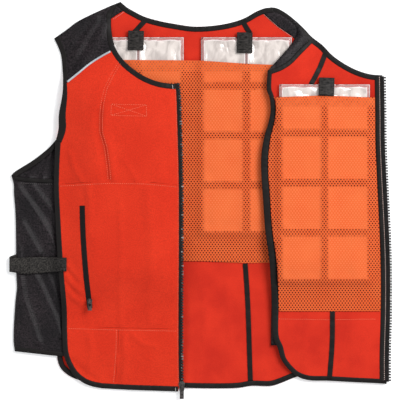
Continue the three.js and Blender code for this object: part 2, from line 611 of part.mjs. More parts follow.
// Side strap: elastic webbing from the front's edge, over the side panel and down round its fold
const strapTop = placeY(strapDown.top);
const strapBottom = placeY(strapDown.foot);
const strapEnd = placeX(16.7);
const strapProfile = [];
const strapLevel = (x) => Math.max(sideFoldHeight, x < placeX(13) ? 0 : Math.max(
  rightClothAt(x, strapTop), rightClothAt(x, strapBottom),
) + bindingThickness) + clearance;
const strapSteps = [16.7, 15.6, 13.5, 12.4, 4];
const foldOut = { knee: 2.8, low: 2.5 };
const upperRow = strapSteps.map((across) => [placeX(across), strapLevel(placeX(across))]);
upperRow.push([placeX(foldOut.knee), sideFoldHeight * 0.6], [placeX(foldOut.knee), webbingThickness]);
const lowerRow = [
  [placeX(foldOut.low) - webbingThickness, 0], [placeX(foldOut.low) - webbingThickness, sideFoldHeight * 0.7],
  ...strapSteps.slice().reverse().map((across) => [placeX(across), strapLevel(placeX(across)) + webbingThickness]),
];
strapProfile.push(...upperRow, [placeX(foldOut.knee), 0], ...lowerRow);
const strapShape = new THREE.Shape(strapProfile.map(([x, z]) => new THREE.Vector2(x, z)));
const strapGeometry = new THREE.ExtrudeGeometry(strapShape, { depth: strapTop - strapBottom, bevelEnabled: false });
strapGeometry.rotateX(Math.PI / 2);
strapGeometry.translate(0, strapTop, 0);
addSolid("side_strap", cut(solidOf(strapGeometry)), colours.strap, 0.95);

// Left side panel: the same fabric folded under the turned-open front, over the mesh of the back
const leftFoldLine = edge([
  [66.6, 45], [66.9, 52], [67.5, 59], [68.1, 65.5], [68.2, 72], [67.9, 78], [67.8, 86.3],
]);
const leftShellOutline = whole(leftFoldLine, points(["across", "down"], [[82.6, 86], [82.8, 65], [82.8, 46]]));
const upperFlap = prism(whole(leftFoldLine, points(["across", "down"], [[71.1, 86.5], [71.1, 44.9]])));
const leftShellLevel = (x, y) => overMesh(x, y);
const lowerLayer = slab(backNet, leftShellLevel, lift(leftShellLevel, sideFabricThickness), leftShellOutline);
const upperLayer = slab(backNet, lift(leftShellLevel, leftFoldHeight - sideFabricThickness),
  lift(leftShellLevel, leftFoldHeight), leftShellOutline).intersect(upperFlap);
const foldWall = slab(backNet, leftShellLevel, lift(leftShellLevel, leftFoldHeight), leftShellOutline)
  .intersect(band(leftFoldLine, -1, sideFabricThickness));
addSolid("left_side_panel", cut(lowerLayer.add(upperLayer).add(foldWall)), colours.yoke, 0.85);

// Left front, turned open with its inside up
const leftNeckLine = edge(leftNeck);
const leftZipLine = edge(leftZip);
const leftHemLine = edge(leftHem);
const leftSideLine = edge(leftSide);
const ridgeLine = edge(leftShoulderRidge).reverse();
const leftOutline = whole(leftNeckLine, leftZipLine, leftHemLine, leftSideLine, ridgeLine);
const leftLoop = whole(leftHemLine, leftSideLine.slice(1));
const leftSheet = slab(leftNet, leftCloth, lift(leftCloth, clothThickness), leftOutline);
const leftTrim = slab(leftNet, leftCloth, lift(leftCloth, bindingThickness), leftOutline);
const leftLoopRoom = roomFor(leftLoop, -1);
const leftNeckRoom = roomFor(leftNeckLine, -1);
const leftYokeLine = edge(leftYokeSeam);
const seamTapeWidth = 8;
const leftYokeSide = points(["across", "down"], [[60, 20], [60, -4], [82, -4]]);
const leftYokeRegion = (gap) => prism([...beside(leftYokeLine, gap), ...leftYokeSide]);
const zipEdge = { teeth: zipTeethWidth, tape: zipTeethWidth + clearance + zipTapeWidth };
const leftZipReach = zipEdge.tape + clearance * 2 + zipBindingWidth;
const leftZipRoom = trimOf(leftZipLine, -1, -bindingWidth, 0).add(trimOf(leftZipLine, -1, 0, leftZipReach));
addSolid("left_front_panel", cut(leftSheet, leftYokeRegion(0), leftLoopRoom, leftNeckRoom, leftZipRoom),
  colours.lining, 0.85);
addSolid("left_front_edge_binding", cut(leftTrim.intersect(bindingOf(leftLoop, -1)), leftZipRoom),
  colours.binding, 0.7);
addSolid("left_front_neck_binding", cut(leftTrim.intersect(bindingOf(leftNeckLine, -1)), leftZipRoom),
  colours.binding, 0.7);
addSolid("left_zip_teeth", cut(leftTrim.intersect(trimOf(leftZipLine, -1, -1, zipEdge.teeth)), leftNeckRoom),
  colours.zip, 0.4);
const leftTapeSheet = slab(leftNet, leftCloth, lift(leftCloth, tapeThickness * 1.5), leftOutline);
addSolid("left_zip_tape", cut(leftTapeSheet.intersect(
  trimOf(leftZipLine, -1, zipEdge.teeth + clearance, zipEdge.tape),
)), colours.zip, 0.6);
addSolid("left_zip_binding", cut(leftTrim.intersect(
  trimOf(leftZipLine, -1, zipEdge.tape + clearance, leftZipReach - clearance),
), leftNeckRoom), colours.binding, 0.7);

// Left yoke: back layer on the floor, pleated up to the front layer along the ridge
const pleatLine = ridgeLine.slice(-4);
const leftYokeTop = leftSheet.intersect(leftYokeRegion(-clearance)).subtract(leftNeckRoom).subtract(leftLoopRoom);
const leftYokeBack = slab(backNet, floor, () => sideFabricThickness, backOutline)
  .intersect(yokeSideLeft(0)).subtract(backNeckRoom);
const pleatWall = slab(leftNet, floor, lift(leftCloth, clothThickness), leftOutline)
  .intersect(trimOf(pleatLine, -1, -1, sideFabricThickness)).subtract(leftNeckRoom).subtract(backNeckRoom)
  .intersect(yokeSideLeft(0));
addSolid("left_yoke", cut(leftYokeTop.add(leftYokeBack).add(pleatWall)), colours.yoke, 0.8);

// Pack and mesh pocket of the left front
const overLeftCloth = lift(leftCloth, overCloth);
const leftPackFloor = lift(leftCloth, bindingThickness + clearance);
addPack("left_front_pack", leftNet, leftFrontPack, leftPackFloor);
const leftMeshLevel = (x, y) => leftPackFloor(x, y) + crown(leftFrontPack, x, y) + clearance;
const leftMeshOutline = points(["across", "down"], [
  [68, 24.4], [80.25, 23.9], [96, 24.4], [96, 77.8], [68, 77.8],
]);
addSolid("left_front_mesh_pocket", cut(slab(leftNet, leftMeshLevel, lift(leftMeshLevel, meshThickness),
  leftMeshOutline), leftLoopRoom, leftZipRoom), colours.mesh, 0.8);

// Webbing tabs over the tops of the packs
function addTab(name, net, level, rows) {
  const outline = points(["across", "down"], rows);
  addSolid(name, cut(slab(net, level, lift(level, webbingThickness), outline)), colours.binding, 0.75);
}
addTab("back_right_tab", backNet, overPacks, [[32.1, 7.65], [36, 7.75], [35.8, 12.8], [31.95, 12.45]]);
addTab("back_left_tab", backNet, overPacks, [[59.25, 8.1], [63.1, 8.1], [62.9, 13.4], [59.25, 13.2]]);
addTab("left_front_tab", leftNet, leftMeshLevel, [[79.65, 19.3], [83.65, 19.6], [83.4, 23.5], [79.6, 23.4]]);

// Black tapes over the seams of the lining
function addTape(name, net, level, rows) {
  const solid = slab(net, level, lift(level, tapeThickness), rectangle(
    placeX(30), placeX(90), placeY(97), placeY(3),
  )).intersect(strip(edge(rows), tapeWidth));
  addSolid(name, cut(solid), colours.binding, 0.75);
}
addTape("back_right_seam_tape", backNet, () => overCloth, [[35.5, 6.3], [34.5, 7.3]]);
addTape("back_left_seam_tape", backNet, () => overCloth, [[61.6, 6.7], [62, 7.7]]);
addTape("back_lower_seam_tape", backNet, () => overCloth, [[61.3, 66.4], [61.9, 75], [62.6, 94.6]]);
addTape("left_upper_seam_tape", leftNet, overLeftCloth, [[80.6, 15.2], [79.5, 18.6]]);
addTape("left_lower_seam_tape", leftNet, overLeftCloth, [[83.1, 78.2], [82.6, 86], [82.4, 93.2]]);

// The origin is on the floor below the middle of the laid-out vest
const reach = new THREE.Box3().setFromObject(vest);
vest.position.set(-(reach.min.x + reach.max.x) / 2, -(reach.min.y + reach.max.y) / 2, 0);

export default vest;
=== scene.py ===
import functools
import math

import bmesh
import bpy
import numpy as np
from mathutils import Matrix, Vector
from mathutils.bvhtree import BVHTree


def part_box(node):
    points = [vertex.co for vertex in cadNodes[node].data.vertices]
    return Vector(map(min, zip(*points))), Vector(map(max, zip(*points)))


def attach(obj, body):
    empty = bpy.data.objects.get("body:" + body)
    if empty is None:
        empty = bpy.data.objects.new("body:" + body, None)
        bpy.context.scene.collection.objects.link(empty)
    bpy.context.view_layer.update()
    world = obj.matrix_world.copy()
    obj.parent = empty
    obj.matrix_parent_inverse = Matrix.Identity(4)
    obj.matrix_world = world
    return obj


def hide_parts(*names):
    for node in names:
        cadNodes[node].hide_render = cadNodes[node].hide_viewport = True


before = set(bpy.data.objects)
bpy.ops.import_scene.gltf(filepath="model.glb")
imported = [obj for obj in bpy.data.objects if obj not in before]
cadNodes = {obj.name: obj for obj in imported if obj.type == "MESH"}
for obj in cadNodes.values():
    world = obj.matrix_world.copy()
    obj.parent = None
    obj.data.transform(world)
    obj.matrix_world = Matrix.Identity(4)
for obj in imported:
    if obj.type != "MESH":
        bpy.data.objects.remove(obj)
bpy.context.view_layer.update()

layout = {"across": 0.640, "down": 0.640, "centre": (0.001975, 0.00065)}  # m, all tables are percent of it

# Camera first: straight above the vest, far away, so that nothing leans outwards
cameraSizes = {"height": 12.0, "sensor": 36.0}
cameraData = bpy.data.cameras.new("topCamera")
cameraData.sensor_width = cameraSizes["sensor"]
cameraData.lens = cameraSizes["sensor"] * cameraSizes["height"] / layout["across"]
camera = bpy.data.objects.new("topCamera", cameraData)
camera.location = (*layout["centre"], cameraSizes["height"])
bpy.context.scene.collection.objects.link(camera)
bpy.context.scene.camera = camera


def place(across, down):  # percent of the layout to metres
    return Vector((
        (across / 100 - 0.5) * layout["across"] + layout["centre"][0],
        (0.5 - down / 100) * layout["down"] + layout["centre"][1],
        0.0,
    ))


def even(points, pitch):  # the same line with evenly spaced points
    lengths = [0.0]
    for a, b in zip(points, points[1:]):
        lengths.append(lengths[-1] + (b - a).length)
    count = max(1, round(lengths[-1] / pitch))
    spaced, k = [], 0
    for step in range(count + 1):
        wanted = lengths[-1] * step / count
        while k < len(points) - 2 and lengths[k + 1] < wanted:
            k += 1
        span = lengths[k + 1] - lengths[k] or 1e-9
        spaced.append(points[k].lerp(points[k + 1], min(1.0, max(0.0, (wanted - lengths[k]) / span))))
    return spaced


def smoothLine(table, pitch=0.004):  # a curve through the table's points
    knots = [place(*row) for row in table]
    ends = [2 * knots[0] - knots[1], *knots, 2 * knots[-1] - knots[-2]]
    dense = []
    for a, b, c, d in zip(ends, ends[1:], ends[2:], ends[3:]):
        t1 = math.sqrt((b - a).length)
        t2 = t1 + math.sqrt((c - b).length)
        t3 = t2 + math.sqrt((d - c).length)
        for k in range(14):
            t = t1 + (t2 - t1) * k / 14
            ab = a * ((t1 - t) / t1) + b * (t / t1)
            bc = b * ((t2 - t) / (t2 - t1)) + c * ((t - t1) / (t2 - t1))
            cd = c * ((t3 - t) / (t3 - t2)) + d * ((t - t2) / (t3 - t2))
            abc = ab * ((t2 - t) / t2) + bc * (t / t2)
            bcd = bc * ((t3 - t) / (t3 - t1)) + cd * ((t - t1) / (t3 - t1))
            dense.append(abc * ((t2 - t) / (t2 - t1)) + bcd * ((t - t1) / (t2 - t1)))
    dense.append(knots[-1])
    return even(dense, pitch)


def polyline(table, pitch=0.004):
    return even([place(*row) for row in table], pitch)


def ringOf(*lines):  # one closed outline, doubled corners dropped
    ring = []
    for line in lines:
        for point in line:
            if not ring or (point - ring[-1]).length > 0.0006:
                ring.append(point)
    while (ring[0] - ring[-1]).length < 0.0006:
        ring.pop()
    return ring


def sideways(line, k):  # unit vector to the left of the way the line runs
    a, b = line[max(0, k - 1)], line[min(len(line) - 1, k + 1)]
    along = (b - a).normalized()
    return Vector((-along.y, along.x, 0.0))


def beside(line, distance):
    return [p + sideways(line, k) * distance for k, p in enumerate(line)]


def along(line, t):  # point and left-hand side at a share of the line
    reach = t * (len(line) - 1)
    k = min(int(reach), len(line) - 2)
    side = sideways(line, k).lerp(sideways(line, k + 1), reach - k)
    return line[k].lerp(line[k + 1], reach - k), side.normalized()


def lengthOf(line):
    return sum((b - a).length for a, b in zip(line, line[1:]))


# Height maps: one number for every 2 mm of floor, all in metres
gridding = {"left": -0.332, "low": -0.342, "pitch": 0.002, "across": 333, "up": 343}
gridX = gridding["left"] + gridding["pitch"] * np.arange(gridding["across"])
gridY = gridding["low"] + gridding["pitch"] * np.arange(gridding["up"])
gridShape = (gridding["up"], gridding["across"])


def treeOf(thing):
    mesh = thing.data
    return BVHTree.FromPolygons([v.co for v in mesh.vertices], [p.vertices[:] for p in mesh.polygons])


def cast(things, below=False):  # the top (or the underside) of some solids
    found = np.full(gridShape, np.nan)
    start, way = (-1.0, 1.0) if below else (1.0, -1.0)
    for thing in things:
        tree = treeOf(thing)
        corners = np.array([v.co for v in thing.data.vertices])
        low, high = corners.min(0), corners.max(0)
        for j in np.flatnonzero((gridY >= low[1]) & (gridY <= high[1])):
            for i in np.flatnonzero((gridX >= low[0]) & (gridX <= high[0])):
                hit = tree.ray_cast(Vector((gridX[i], gridY[j], start)), Vector((0, 0, way)))[0]
                if hit is not None:
                    old = found[j, i]
                    better = np.isnan(old) or (hit.z < old if below else hit.z > old)
                    found[j, i] = hit.z if better else old
    return found


def fillOut(field, rounds=60):  # spreads the known heights past their edge
    field = field.copy()
    for _ in range(rounds):
        unknown = np.isnan(field)
        if not unknown.any():
            break
        total, count = np.zeros(gridShape), np.zeros(gridShape)
        for shift in ((0, 1), (0, -1), (1, 0), (-1, 0), (1, 1), (-1, -1), (1, -1), (-1, 1)):
            moved = np.roll(field, shift, (0, 1))
            known = ~np.isnan(moved)
            total[known] += moved[known]
            count[known] += 1
        reached = unknown & (count > 0)
        field[reached] = total[reached] / count[reached]
    field[np.isnan(field)] = np.nanmin(field)
    return field


def soften(field, reachX, reachY=None, rounds=3):  # moving average, reach in metres
    for axis, reach in ((1, reachX), (0, reachX if reachY is None else reachY)):
        cells = int(round(reach / gridding["pitch"]))
        if cells < 1:
            continue
        width = 2 * cells + 1
        for _ in range(rounds):
            pad = [(0, 0), (0, 0)]
            pad[axis] = (cells + 1, cells)
            sums = np.cumsum(np.pad(field, pad, mode="edge"), axis=axis)
            top = np.take(sums, range(width, sums.shape[axis]), axis=axis)
            field = (top - np.take(sums, range(0, sums.shape[axis] - width), axis=axis)) / width
    return field


def crumple(seed, sizeX, sizeY=None):  # smooth random field, about -1 to 1
    rough = np.random.default_rng(seed).standard_normal(gridShape)
    smooth = soften(rough, sizeX / 2, (sizeX if sizeY is None else sizeY) / 2)
    return smooth / (2 * smooth.std())


def heightAt(field, x, y):
    u = min(max((x - gridding["left"]) / gridding["pitch"], 0.0), gridding["across"] - 1.001)
    v = min(max((y - gridding["low"]) / gridding["pitch"], 0.0), gridding["up"] - 1.001)
    i, j = int(u), int(v)
    fu, fv = u - i, v - j
    low = field[j, i] * (1 - fu) + field[j, i + 1] * fu
    return low * (1 - fv) + (field[j + 1, i] * (1 - fu) + field[j + 1, i + 1] * fu) * fv


def awayFrom(line):  # distance of every grid point from a line
    x, y = np.meshgrid(gridX, gridY)
    nearest = np.full(gridShape, 9.0)
    for a, b in zip(line, line[1:]):
        dx, dy = b.x - a.x, b.y - a.y
        t = np.clip(((x - a.x) * dx + (y - a.y) * dy) / (dx * dx + dy * dy + 1e-12), 0, 1)
        nearest = np.minimum(nearest, np.hypot(x - a.x - t * dx, y - a.y - t * dy))
    return nearest


def ridge(table, width, height):  # a crease (or a groove, with a height below zero)
    return height * np.exp(-(awayFrom(polyline(table, 0.012)) / width) ** 2)


def pucker(table, reach, size, height, seed):  # the small gathers along a sewn line
    return height * crumple(seed, size) * np.exp(-(awayFrom(polyline(table, 0.012)) / reach) ** 2)


# Making pieces
def newPiece(name, bm, material, smooth=True):
    mesh = bpy.data.meshes.new(name)
    bm.to_mesh(mesh)
    bm.free()
    piece = bpy.data.objects.new(name, mesh)
    bpy.context.scene.collection.objects.link(piece)
    mesh.materials.append(material)
    mesh.polygons.foreach_set("use_smooth", [smooth] * len(mesh.polygons))
    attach(piece, "vest")
    return piece


def thicken(piece, thickness, offset=-1.0):
    wall = piece.modifiers.new("wall", "SOLIDIFY")
    wall.thickness = thickness
    wall.offset = offset
    wall.use_even_offset = False


def dice(bm, cell):  # cuts a flat face into cells with straight cuts, one way and then the other
    for axis in (0, 1):
        todo = bm.faces[:]
        values = [v.co[axis] for v in bm.verts]
        normal = Vector((1, 0, 0)) if axis == 0 else Vector((0, 1, 0))
        for k in range(math.ceil(min(values) / cell), math.floor(max(values) / cell) + 1):
            edges = list({e for f in todo for e in f.edges})
            verts = list({v for f in todo for v in f.verts})
            cut = bmesh.ops.bisect_plane(bm, geom=verts + edges + todo, plane_co=normal * (k * cell + 1e-5),
                                         plane_no=normal, dist=1e-6)
            faces = [g for g in cut["geom"] if isinstance(g, bmesh.types.BMFace)]
            todo = [f for f in faces if f.calc_center_median()[axis] > k * cell]


def dress(piece, node=None):  # hides the CAD node that the piece stands for
    if node:
        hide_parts(node)


def cutCloth(name, outline, field, material, node=None, thickness=0.002, cell=0.004):
    # a flat sheet cut to its outline and laid on a height map; the size it was cut to is worked out but not kept
    bm = bmesh.new()
    face = bm.faces.new([bm.verts.new((p.x, p.y, 0.0)) for p in outline])
    face.normal_update()
    if face.normal.z < 0:
        face.normal_flip()
    dice(bm, cell)
    width, length = [max(v.co[axis] for v in bm.verts) - min(v.co[axis] for v in bm.verts) for axis in (0, 1)]
    area = sum(f.calc_area() for f in bm.faces)
    width = min(width, area / (0.4 * length))  # a slanting piece is cut narrower than its box
    for v in bm.verts:
        v.co.z = heightAt(field, v.co.x, v.co.y)
    piece = newPiece(name, bm, material)
    thicken(piece, thickness)
    dress(piece, node)
    return piece


def loft(name, rings, steps, shape, material, size=(1.0, 1.0), closed=True):
    # a grid bent into place by shape(s, t); closed joins s = 0 to s = 1 and caps both ends
    bm = bmesh.new()
    uv = bm.loops.layers.uv.new("UVMap")
    bmesh.ops.create_grid(bm, x_segments=rings, y_segments=steps, size=0.5)
    for v in bm.verts:
        for loop in v.link_loops:
            loop[uv].uv = ((v.co.x + 0.5) * size[0], (v.co.y + 0.5) * size[1])
    for v in bm.verts:
        v.co = shape(v.co.x + 0.5, v.co.y + 0.5)
    if closed:
        bmesh.ops.remove_doubles(bm, verts=bm.verts, dist=1e-6)
        bmesh.ops.holes_fill(bm, edges=[e for e in bm.edges if e.is_boundary])
    bmesh.ops.recalc_face_normals(bm, faces=bm.faces)
    return newPiece(name, bm, material)


# Materials
def linear(colour):  # sRGB hex to linear colour
    shares = [int(colour[k:k + 2], 16) / 255 for k in (1, 3, 5)]
    return (*[s / 12.92 if s <= 0.04045 else ((s + 0.055) / 1.055) ** 2.4 for s in shares], 1.0)


def setInputs(node, inputs):  # each input is a value, a socket or a node, whose first live output is meant
    for key, value in inputs.items():
        if isinstance(value, bpy.types.Node):
            value = next(socket for socket in value.outputs if socket.enabled)
        if isinstance(value, bpy.types.NodeSocket):
            node.id_data.links.new(value, node.inputs[key])
        else:
            node.inputs[key].default_value = value


def addNode(tree, kind, inputs=None, **settings):
    node = tree.nodes.new("ShaderNode" + kind)
    for key, value in settings.items():
        setattr(node, key, value)
    setInputs(node, inputs or {})
    return node


def startMaterial(name, colour, finish, coordinate="Object"):
    material = bpy.data.materials.new(name)
    material.use_nodes = True
    material.diffuse_color = linear(colour)
    shader = material.node_tree.nodes["Principled BSDF"]
    setInputs(shader, finish)
    add = functools.partial(addNode, material.node_tree)
    return material, add, shader, add("TexCoord").outputs[coordinate]


waveBand = 0.314159  # m from one band of a wave texture to the next, at scale 1


def cloth(name, colour, dark, weave, finish, coordinate="Object", fuzz=0.0, grainAndGlints=(0.92, 1.06), grit=0.0013):
    # thread lines both ways as bump (weave: m between them), a fine grain in the colour and a slow change of tone; a
    # wide grain range makes pale specks that stand for painted glints
    material, add, shader, where = startMaterial(name, colour, finish, coordinate)
    lines = [add("TexWave", {"Vector": where, "Scale": waveBand / spacing, "Distortion": 0.6, "Detail": 1.0,
                     "Detail Scale": 2.0}, bands_direction=way).outputs["Fac"] for spacing, way in zip(weave, "XY")]
    threads = add("Math", {0: lines[0], 1: lines[1]}, operation="MULTIPLY")
    slow = add("TexNoise", {"Vector": where, "Scale": 1 / 0.05, "Detail": 3.0})
    grain = add("TexNoise", {"Vector": where, "Scale": 1 / grit, "Detail": 1.0})
    tone = add("MapRange", {"Value": slow, "From Min": 0.35, "From Max": 0.65})
    base = add("Mix", {0: tone, 6: linear(dark), 7: linear(colour)}, data_type="RGBA")
    grainAndGlint = add("MapRange", {"Value": grain, "From Min": 0.3, "From Max": 0.7, "To Min": grainAndGlints[0],
                             "To Max": grainAndGlints[1]})
    shaded = add("Mix", {0: 1.0, 6: base, 7: grainAndGlint}, data_type="RGBA", blend_type="MULTIPLY")
    heights = add("Math", {0: grain, 1: fuzz, 2: threads}, operation="MULTIPLY_ADD")
    bump = add("Bump", {"Height": heights, "Strength": 0.5, "Distance": 0.0003})
    setInputs(shader, {"Base Color": shaded, "Normal": bump})
    return material


softFinish = {"Roughness": 0.9, "Sheen Weight": 0.06, "Sheen Roughness": 0.5, "Specular IOR Level": 0.12}
# Polyester twill, dyed and brushed: matt red with a fine grain. Its 1.6 mm lines are coarser than real, to show
shellCloth = cloth("twillPolyesterShell", "#D3331B", "#CB2E18", (0.0016, 0.0016), softFinish, grainAndGlints=(0.86, 1.1),
                   grit=0.0017)
# Warp-knitted lining: smoother and a little deeper red, its loops drawn coarse as well
liningCloth = cloth("tricotLining", "#D0301D", "#C02819", (0.0018, 0.0018), softFinish)
# Stretch knit with elastane: soft black with a faint shine. Ribs of 2 to 3 mm stand for real ones under 1 mm. Its
# strong pale specks are partly grain and partly painted glints
knitCloth = cloth("stretchKnit", "#181315", "#0E0B0D", (0.0021, 0.0030), {
    "Roughness": 0.45, "Specular IOR Level": 0.15, "Sheen Weight": 0.02, "Sheen Roughness": 0.4},
    fuzz=0.6, grainAndGlints=(0.05, 3.4), grit=0.0022)
# Woven grosgrain tape: fine cross ribs with a dull shine
bindingCloth = cloth("grosgrainBinding", "#1D1A19", "#171514", (0.004, 0.0016),
                     {"Roughness": 0.45, "Specular IOR Level": 0.12}, coordinate="UV")
# Woven polypropylene: black with paler specks where the weave catches the light, drawn coarse
webbingCloth = cloth("polypropyleneWebbing", "#201E1C", "#151312", (0.0016, 0.0024),
                     {"Roughness": 0.5, "Specular IOR Level": 0.15}, coordinate="UV", fuzz=0.8, grainAndGlints=(0.02, 4.2),
                     grit=0.0024)
# Glass beads on cloth: an even silver grey
pipingCloth = cloth("retroreflectivePiping", "#C2C9CE", "#A9B2B9", (0.002, 0.002),
                    {"Roughness": 0.35, "Metallic": 0.3}, coordinate="UV")
# Woven polyester zip tape: plain matt black
tapeCloth = cloth("zipTape", "#1B1919", "#151414", (0.0012, 0.0012), {"Roughness": 0.6, "Specular IOR Level": 0.1},
                  coordinate="UV")


def meshKnit():  # warp-knitted polyester: orange, with staggered round holes; where a gap lies behind, painted shade darkens the holes and deepens the knit's red, and over a pack's cell the holes are painted pale orange
    sizes = {"across": 0.00483, "rows": 0.00335, "hole": 0.00132}  # m between holes and rows, and a hole's radius
    material, add, shader, where = startMaterial("warpKnitMesh", "#F4682F", softFinish)
    distances = []
    for shift in (0.0, 0.5):  # two lattices of holes, half a step apart
        lattice = add("VectorMath", {0: where, 1: (1 / sizes["across"], 0.5 / sizes["rows"], 0.0),
                                     2: (shift, shift, 0.0)}, operation="MULTIPLY_ADD")
        inCell = add("VectorMath", {0: lattice}, operation="FRACTION")
        centred = add("VectorMath", {0: inCell, 1: (0.5, 0.5, 0.0)}, operation="SUBTRACT")
        scaled = add("VectorMath", {0: centred, 1: (sizes["across"], 2 * sizes["rows"], 0.0)}, operation="MULTIPLY")
        distances.append(add("VectorMath", {0: scaled}, operation="LENGTH").outputs["Value"])
    nearest = add("Math", {0: distances[0], 1: distances[1]}, operation="MINIMUM")
    cover = add("MapRange", {"Value": nearest, "From Min": sizes["hole"] * 0.6, "From Max": sizes["hole"] * 1.1})
    solid = add("MapRange", {"Value": nearest, "From Min": 0.0, "From Max": sizes["hole"] * 0.5, "To Min": 0.35})
    # painted shade: how far behind the mesh the next thing lies, broken up by noise
    shadeBehind = add("Attribute", attribute_name="shadeBehind").outputs["Fac"]
    uneven = add("TexNoise", {"Vector": where, "Scale": 1 / 0.006, "Detail": 1.0})
    shadeDepth = add("Math", {0: shadeBehind, 1: uneven}, operation="MULTIPLY")
    holeShade = add("Math", {0: shadeDepth, 1: 3.0}, operation="MULTIPLY", use_clamp=True)
    slow = add("TexNoise", {"Vector": where, "Scale": 1 / 0.03, "Detail": 2.0})
    bright = add("Mix", {0: slow, 6: linear("#D85829"), 7: linear("#DE6A36")}, data_type="RGBA")
    # painted shade: the knit a deeper red where a gap lies behind it
    knitShade = add("Math", {0: shadeBehind, 1: 0.16}, operation="MULTIPLY")
    knit = add("Mix", {0: knitShade, 6: bright, 7: linear("#D44320")}, data_type="RGBA")
    # painted shade in the holes: dark over a gap, pale orange over a pack's cell
    hole = add("Mix", {0: holeShade, 6: linear("#F27A4C"), 7: linear("#26040E")}, data_type="RGBA")
    base = add("Mix", {0: cover, 6: hole, 7: knit}, data_type="RGBA")
    bump = add("Bump", {"Height": cover, "Strength": 0.3, "Distance": 0.0003})
    setInputs(shader, {"Base Color": base, "Alpha": solid, "Normal": bump})
    return material


def packFilm():  # clear polyurethane, welded: pale crumpled gel in the cells with painted glints and shade, see-through welds with painted highlights along their bright rims
    # line: width of the painted highlight lines; edge: how far in from the pack's edge the outer one runs
    p = {"cells": (2, 4), "cell": (0.0736, 0.0794), "rim": 0.0056, "seam": 0.0026, "line": 0.0006, "edge": 0.0007}
    material, add, shader, where = startMaterial("polyurethaneFilm", "#E9E0DE", {
        "Roughness": 0.2, "Specular IOR Level": 0.55, "Coat Weight": 0.35, "Coat Roughness": 0.08}, "UV")
    whole = add("VectorMath", {0: where, 1: (0.5, 0.5, 0.5)}, operation="SUBTRACT")
    scaledCells = add("VectorMath", {0: where, 1: (*p["cells"], 1.0)}, operation="MULTIPLY")
    inCell = add("VectorMath", {0: scaledCells}, operation="FRACTION")
    centred = add("VectorMath", {0: inCell, 1: (0.5, 0.5, 0.5)}, operation="SUBTRACT")
    distances = []  # m inwards from the pack's edge, and from the cell's
    for vector, size in ((whole, (p["cell"][0] * 2, p["cell"][1] * 4)), (centred, p["cell"])):
        positive = add("VectorMath", {0: vector}, operation="ABSOLUTE")
        inward = add("VectorMath", {0: (0.5, 0.5, 0.5), 1: positive}, operation="SUBTRACT")
        metres = add("VectorMath", {0: inward, 1: (*size, 0.0)}, operation="MULTIPLY")
        apart = add("SeparateXYZ", {0: metres})
        distances.append(add("Math", {0: apart.outputs[0], 1: apart.outputs[1]}, operation="MINIMUM"))
    fromRim = add("Math", {0: distances[0], 1: p["rim"]}, operation="SUBTRACT")
    fromSeam = add("Math", {0: distances[1], 1: p["seam"]}, operation="SUBTRACT")
    inside = add("Math", {0: fromRim, 1: fromSeam}, operation="MINIMUM")
    gel = add("MapRange", {"Value": inside, "From Min": -0.0003, "From Max": 0.0004})
    # painted highlights: bright lines along the welds' edges and just inside the pack's edge
    weldHighlight = add("Math", {0: inside, 1: 0.0, 2: p["line"]}, operation="COMPARE")
    rimHighlight = add("Math", {0: distances[0], 1: p["edge"], 2: p["line"]}, operation="COMPARE")
    lines = add("Math", {0: weldHighlight, 1: rimHighlight}, operation="MAXIMUM")
    onObject = add("TexCoord").outputs["Object"]
    streaked = add("Mapping", {"Vector": onObject, "Scale": (1.0, 0.45, 1.0), "Rotation": (0.0, 0.0, 0.35)})
    crumpled = add("TexNoise", {"Vector": streaked, "Scale": 1 / 0.013, "Detail": 2.0, "Distortion": 1.0})
    # painted glints and shade: pale and grey streaks on the crumpled gel
    glints = add("MapRange", {"Value": crumpled, "From Min": 0.35, "From Max": 0.62})
    base = add("Mix", {0: glints, 6: linear("#BFB4AE"), 7: linear("#E0D5CE")}, data_type="RGBA")
    clear = add("Mix", {0: gel, 6: linear("#DDB9B4"), 7: base}, data_type="RGBA")
    highlighted = add("Mix", {0: lines, 6: clear, 7: linear("#EEE4E2")}, data_type="RGBA")
    filled = add("Math", {0: gel, 1: lines}, operation="MAXIMUM")
    solid = add("MapRange", {"Value": filled, "To Min": 0.38, "To Max": 0.97})
    bump = add("Bump", {"Height": crumpled, "Strength": 0.5, "Distance": 0.0016})
    setInputs(shader, {"Base Color": highlighted, "Alpha": solid, "Normal": bump})
    return material


def cloudyToneAndGlints(name, colour, dark, finish, cloud=0.003, edges=(0.3, 0.7)):  # cast, moulded or spun, never quite even; on the teeth and slider the pale clouds are painted glints and highlights
    material, add, shader, where = startMaterial(name, colour, finish)
    clouds = add("TexNoise", {"Vector": where, "Scale": 1 / cloud, "Detail": 3.0})
    share = add("MapRange", {"Value": clouds, "From Min": edges[0], "From Max": edges[1]})
    base = add("Mix", {0: share, 6: linear(dark), 7: linear(colour)}, data_type="RGBA")
    bump = add("Bump", {"Height": clouds, "Strength": 0.2, "Distance": 0.0001})
    setInputs(shader, {"Base Color": base, "Normal": bump})
    return material


meshCloth = meshKnit()
film = packFilm()
# Die-cast zinc under black nickel: dark, with soft grey highlights painted into its colour
sliderMetal = cloudyToneAndGlints("blackNickelSlider", "#7A7572", "#2C2928", {"Metallic": 0.9, "Roughness": 0.3})
# Moulded acetal: near black and glossy. Pale glints are painted into its colour every 7 mm, as single teeth are too
# fine to show
teethPlastic = cloudyToneAndGlints("mouldedAcetalTeeth", "#A39F9B", "#0E0D0D", {"Roughness": 0.2, "Specular IOR Level": 0.9},
                      cloud=0.007, edges=(0.54, 0.74))
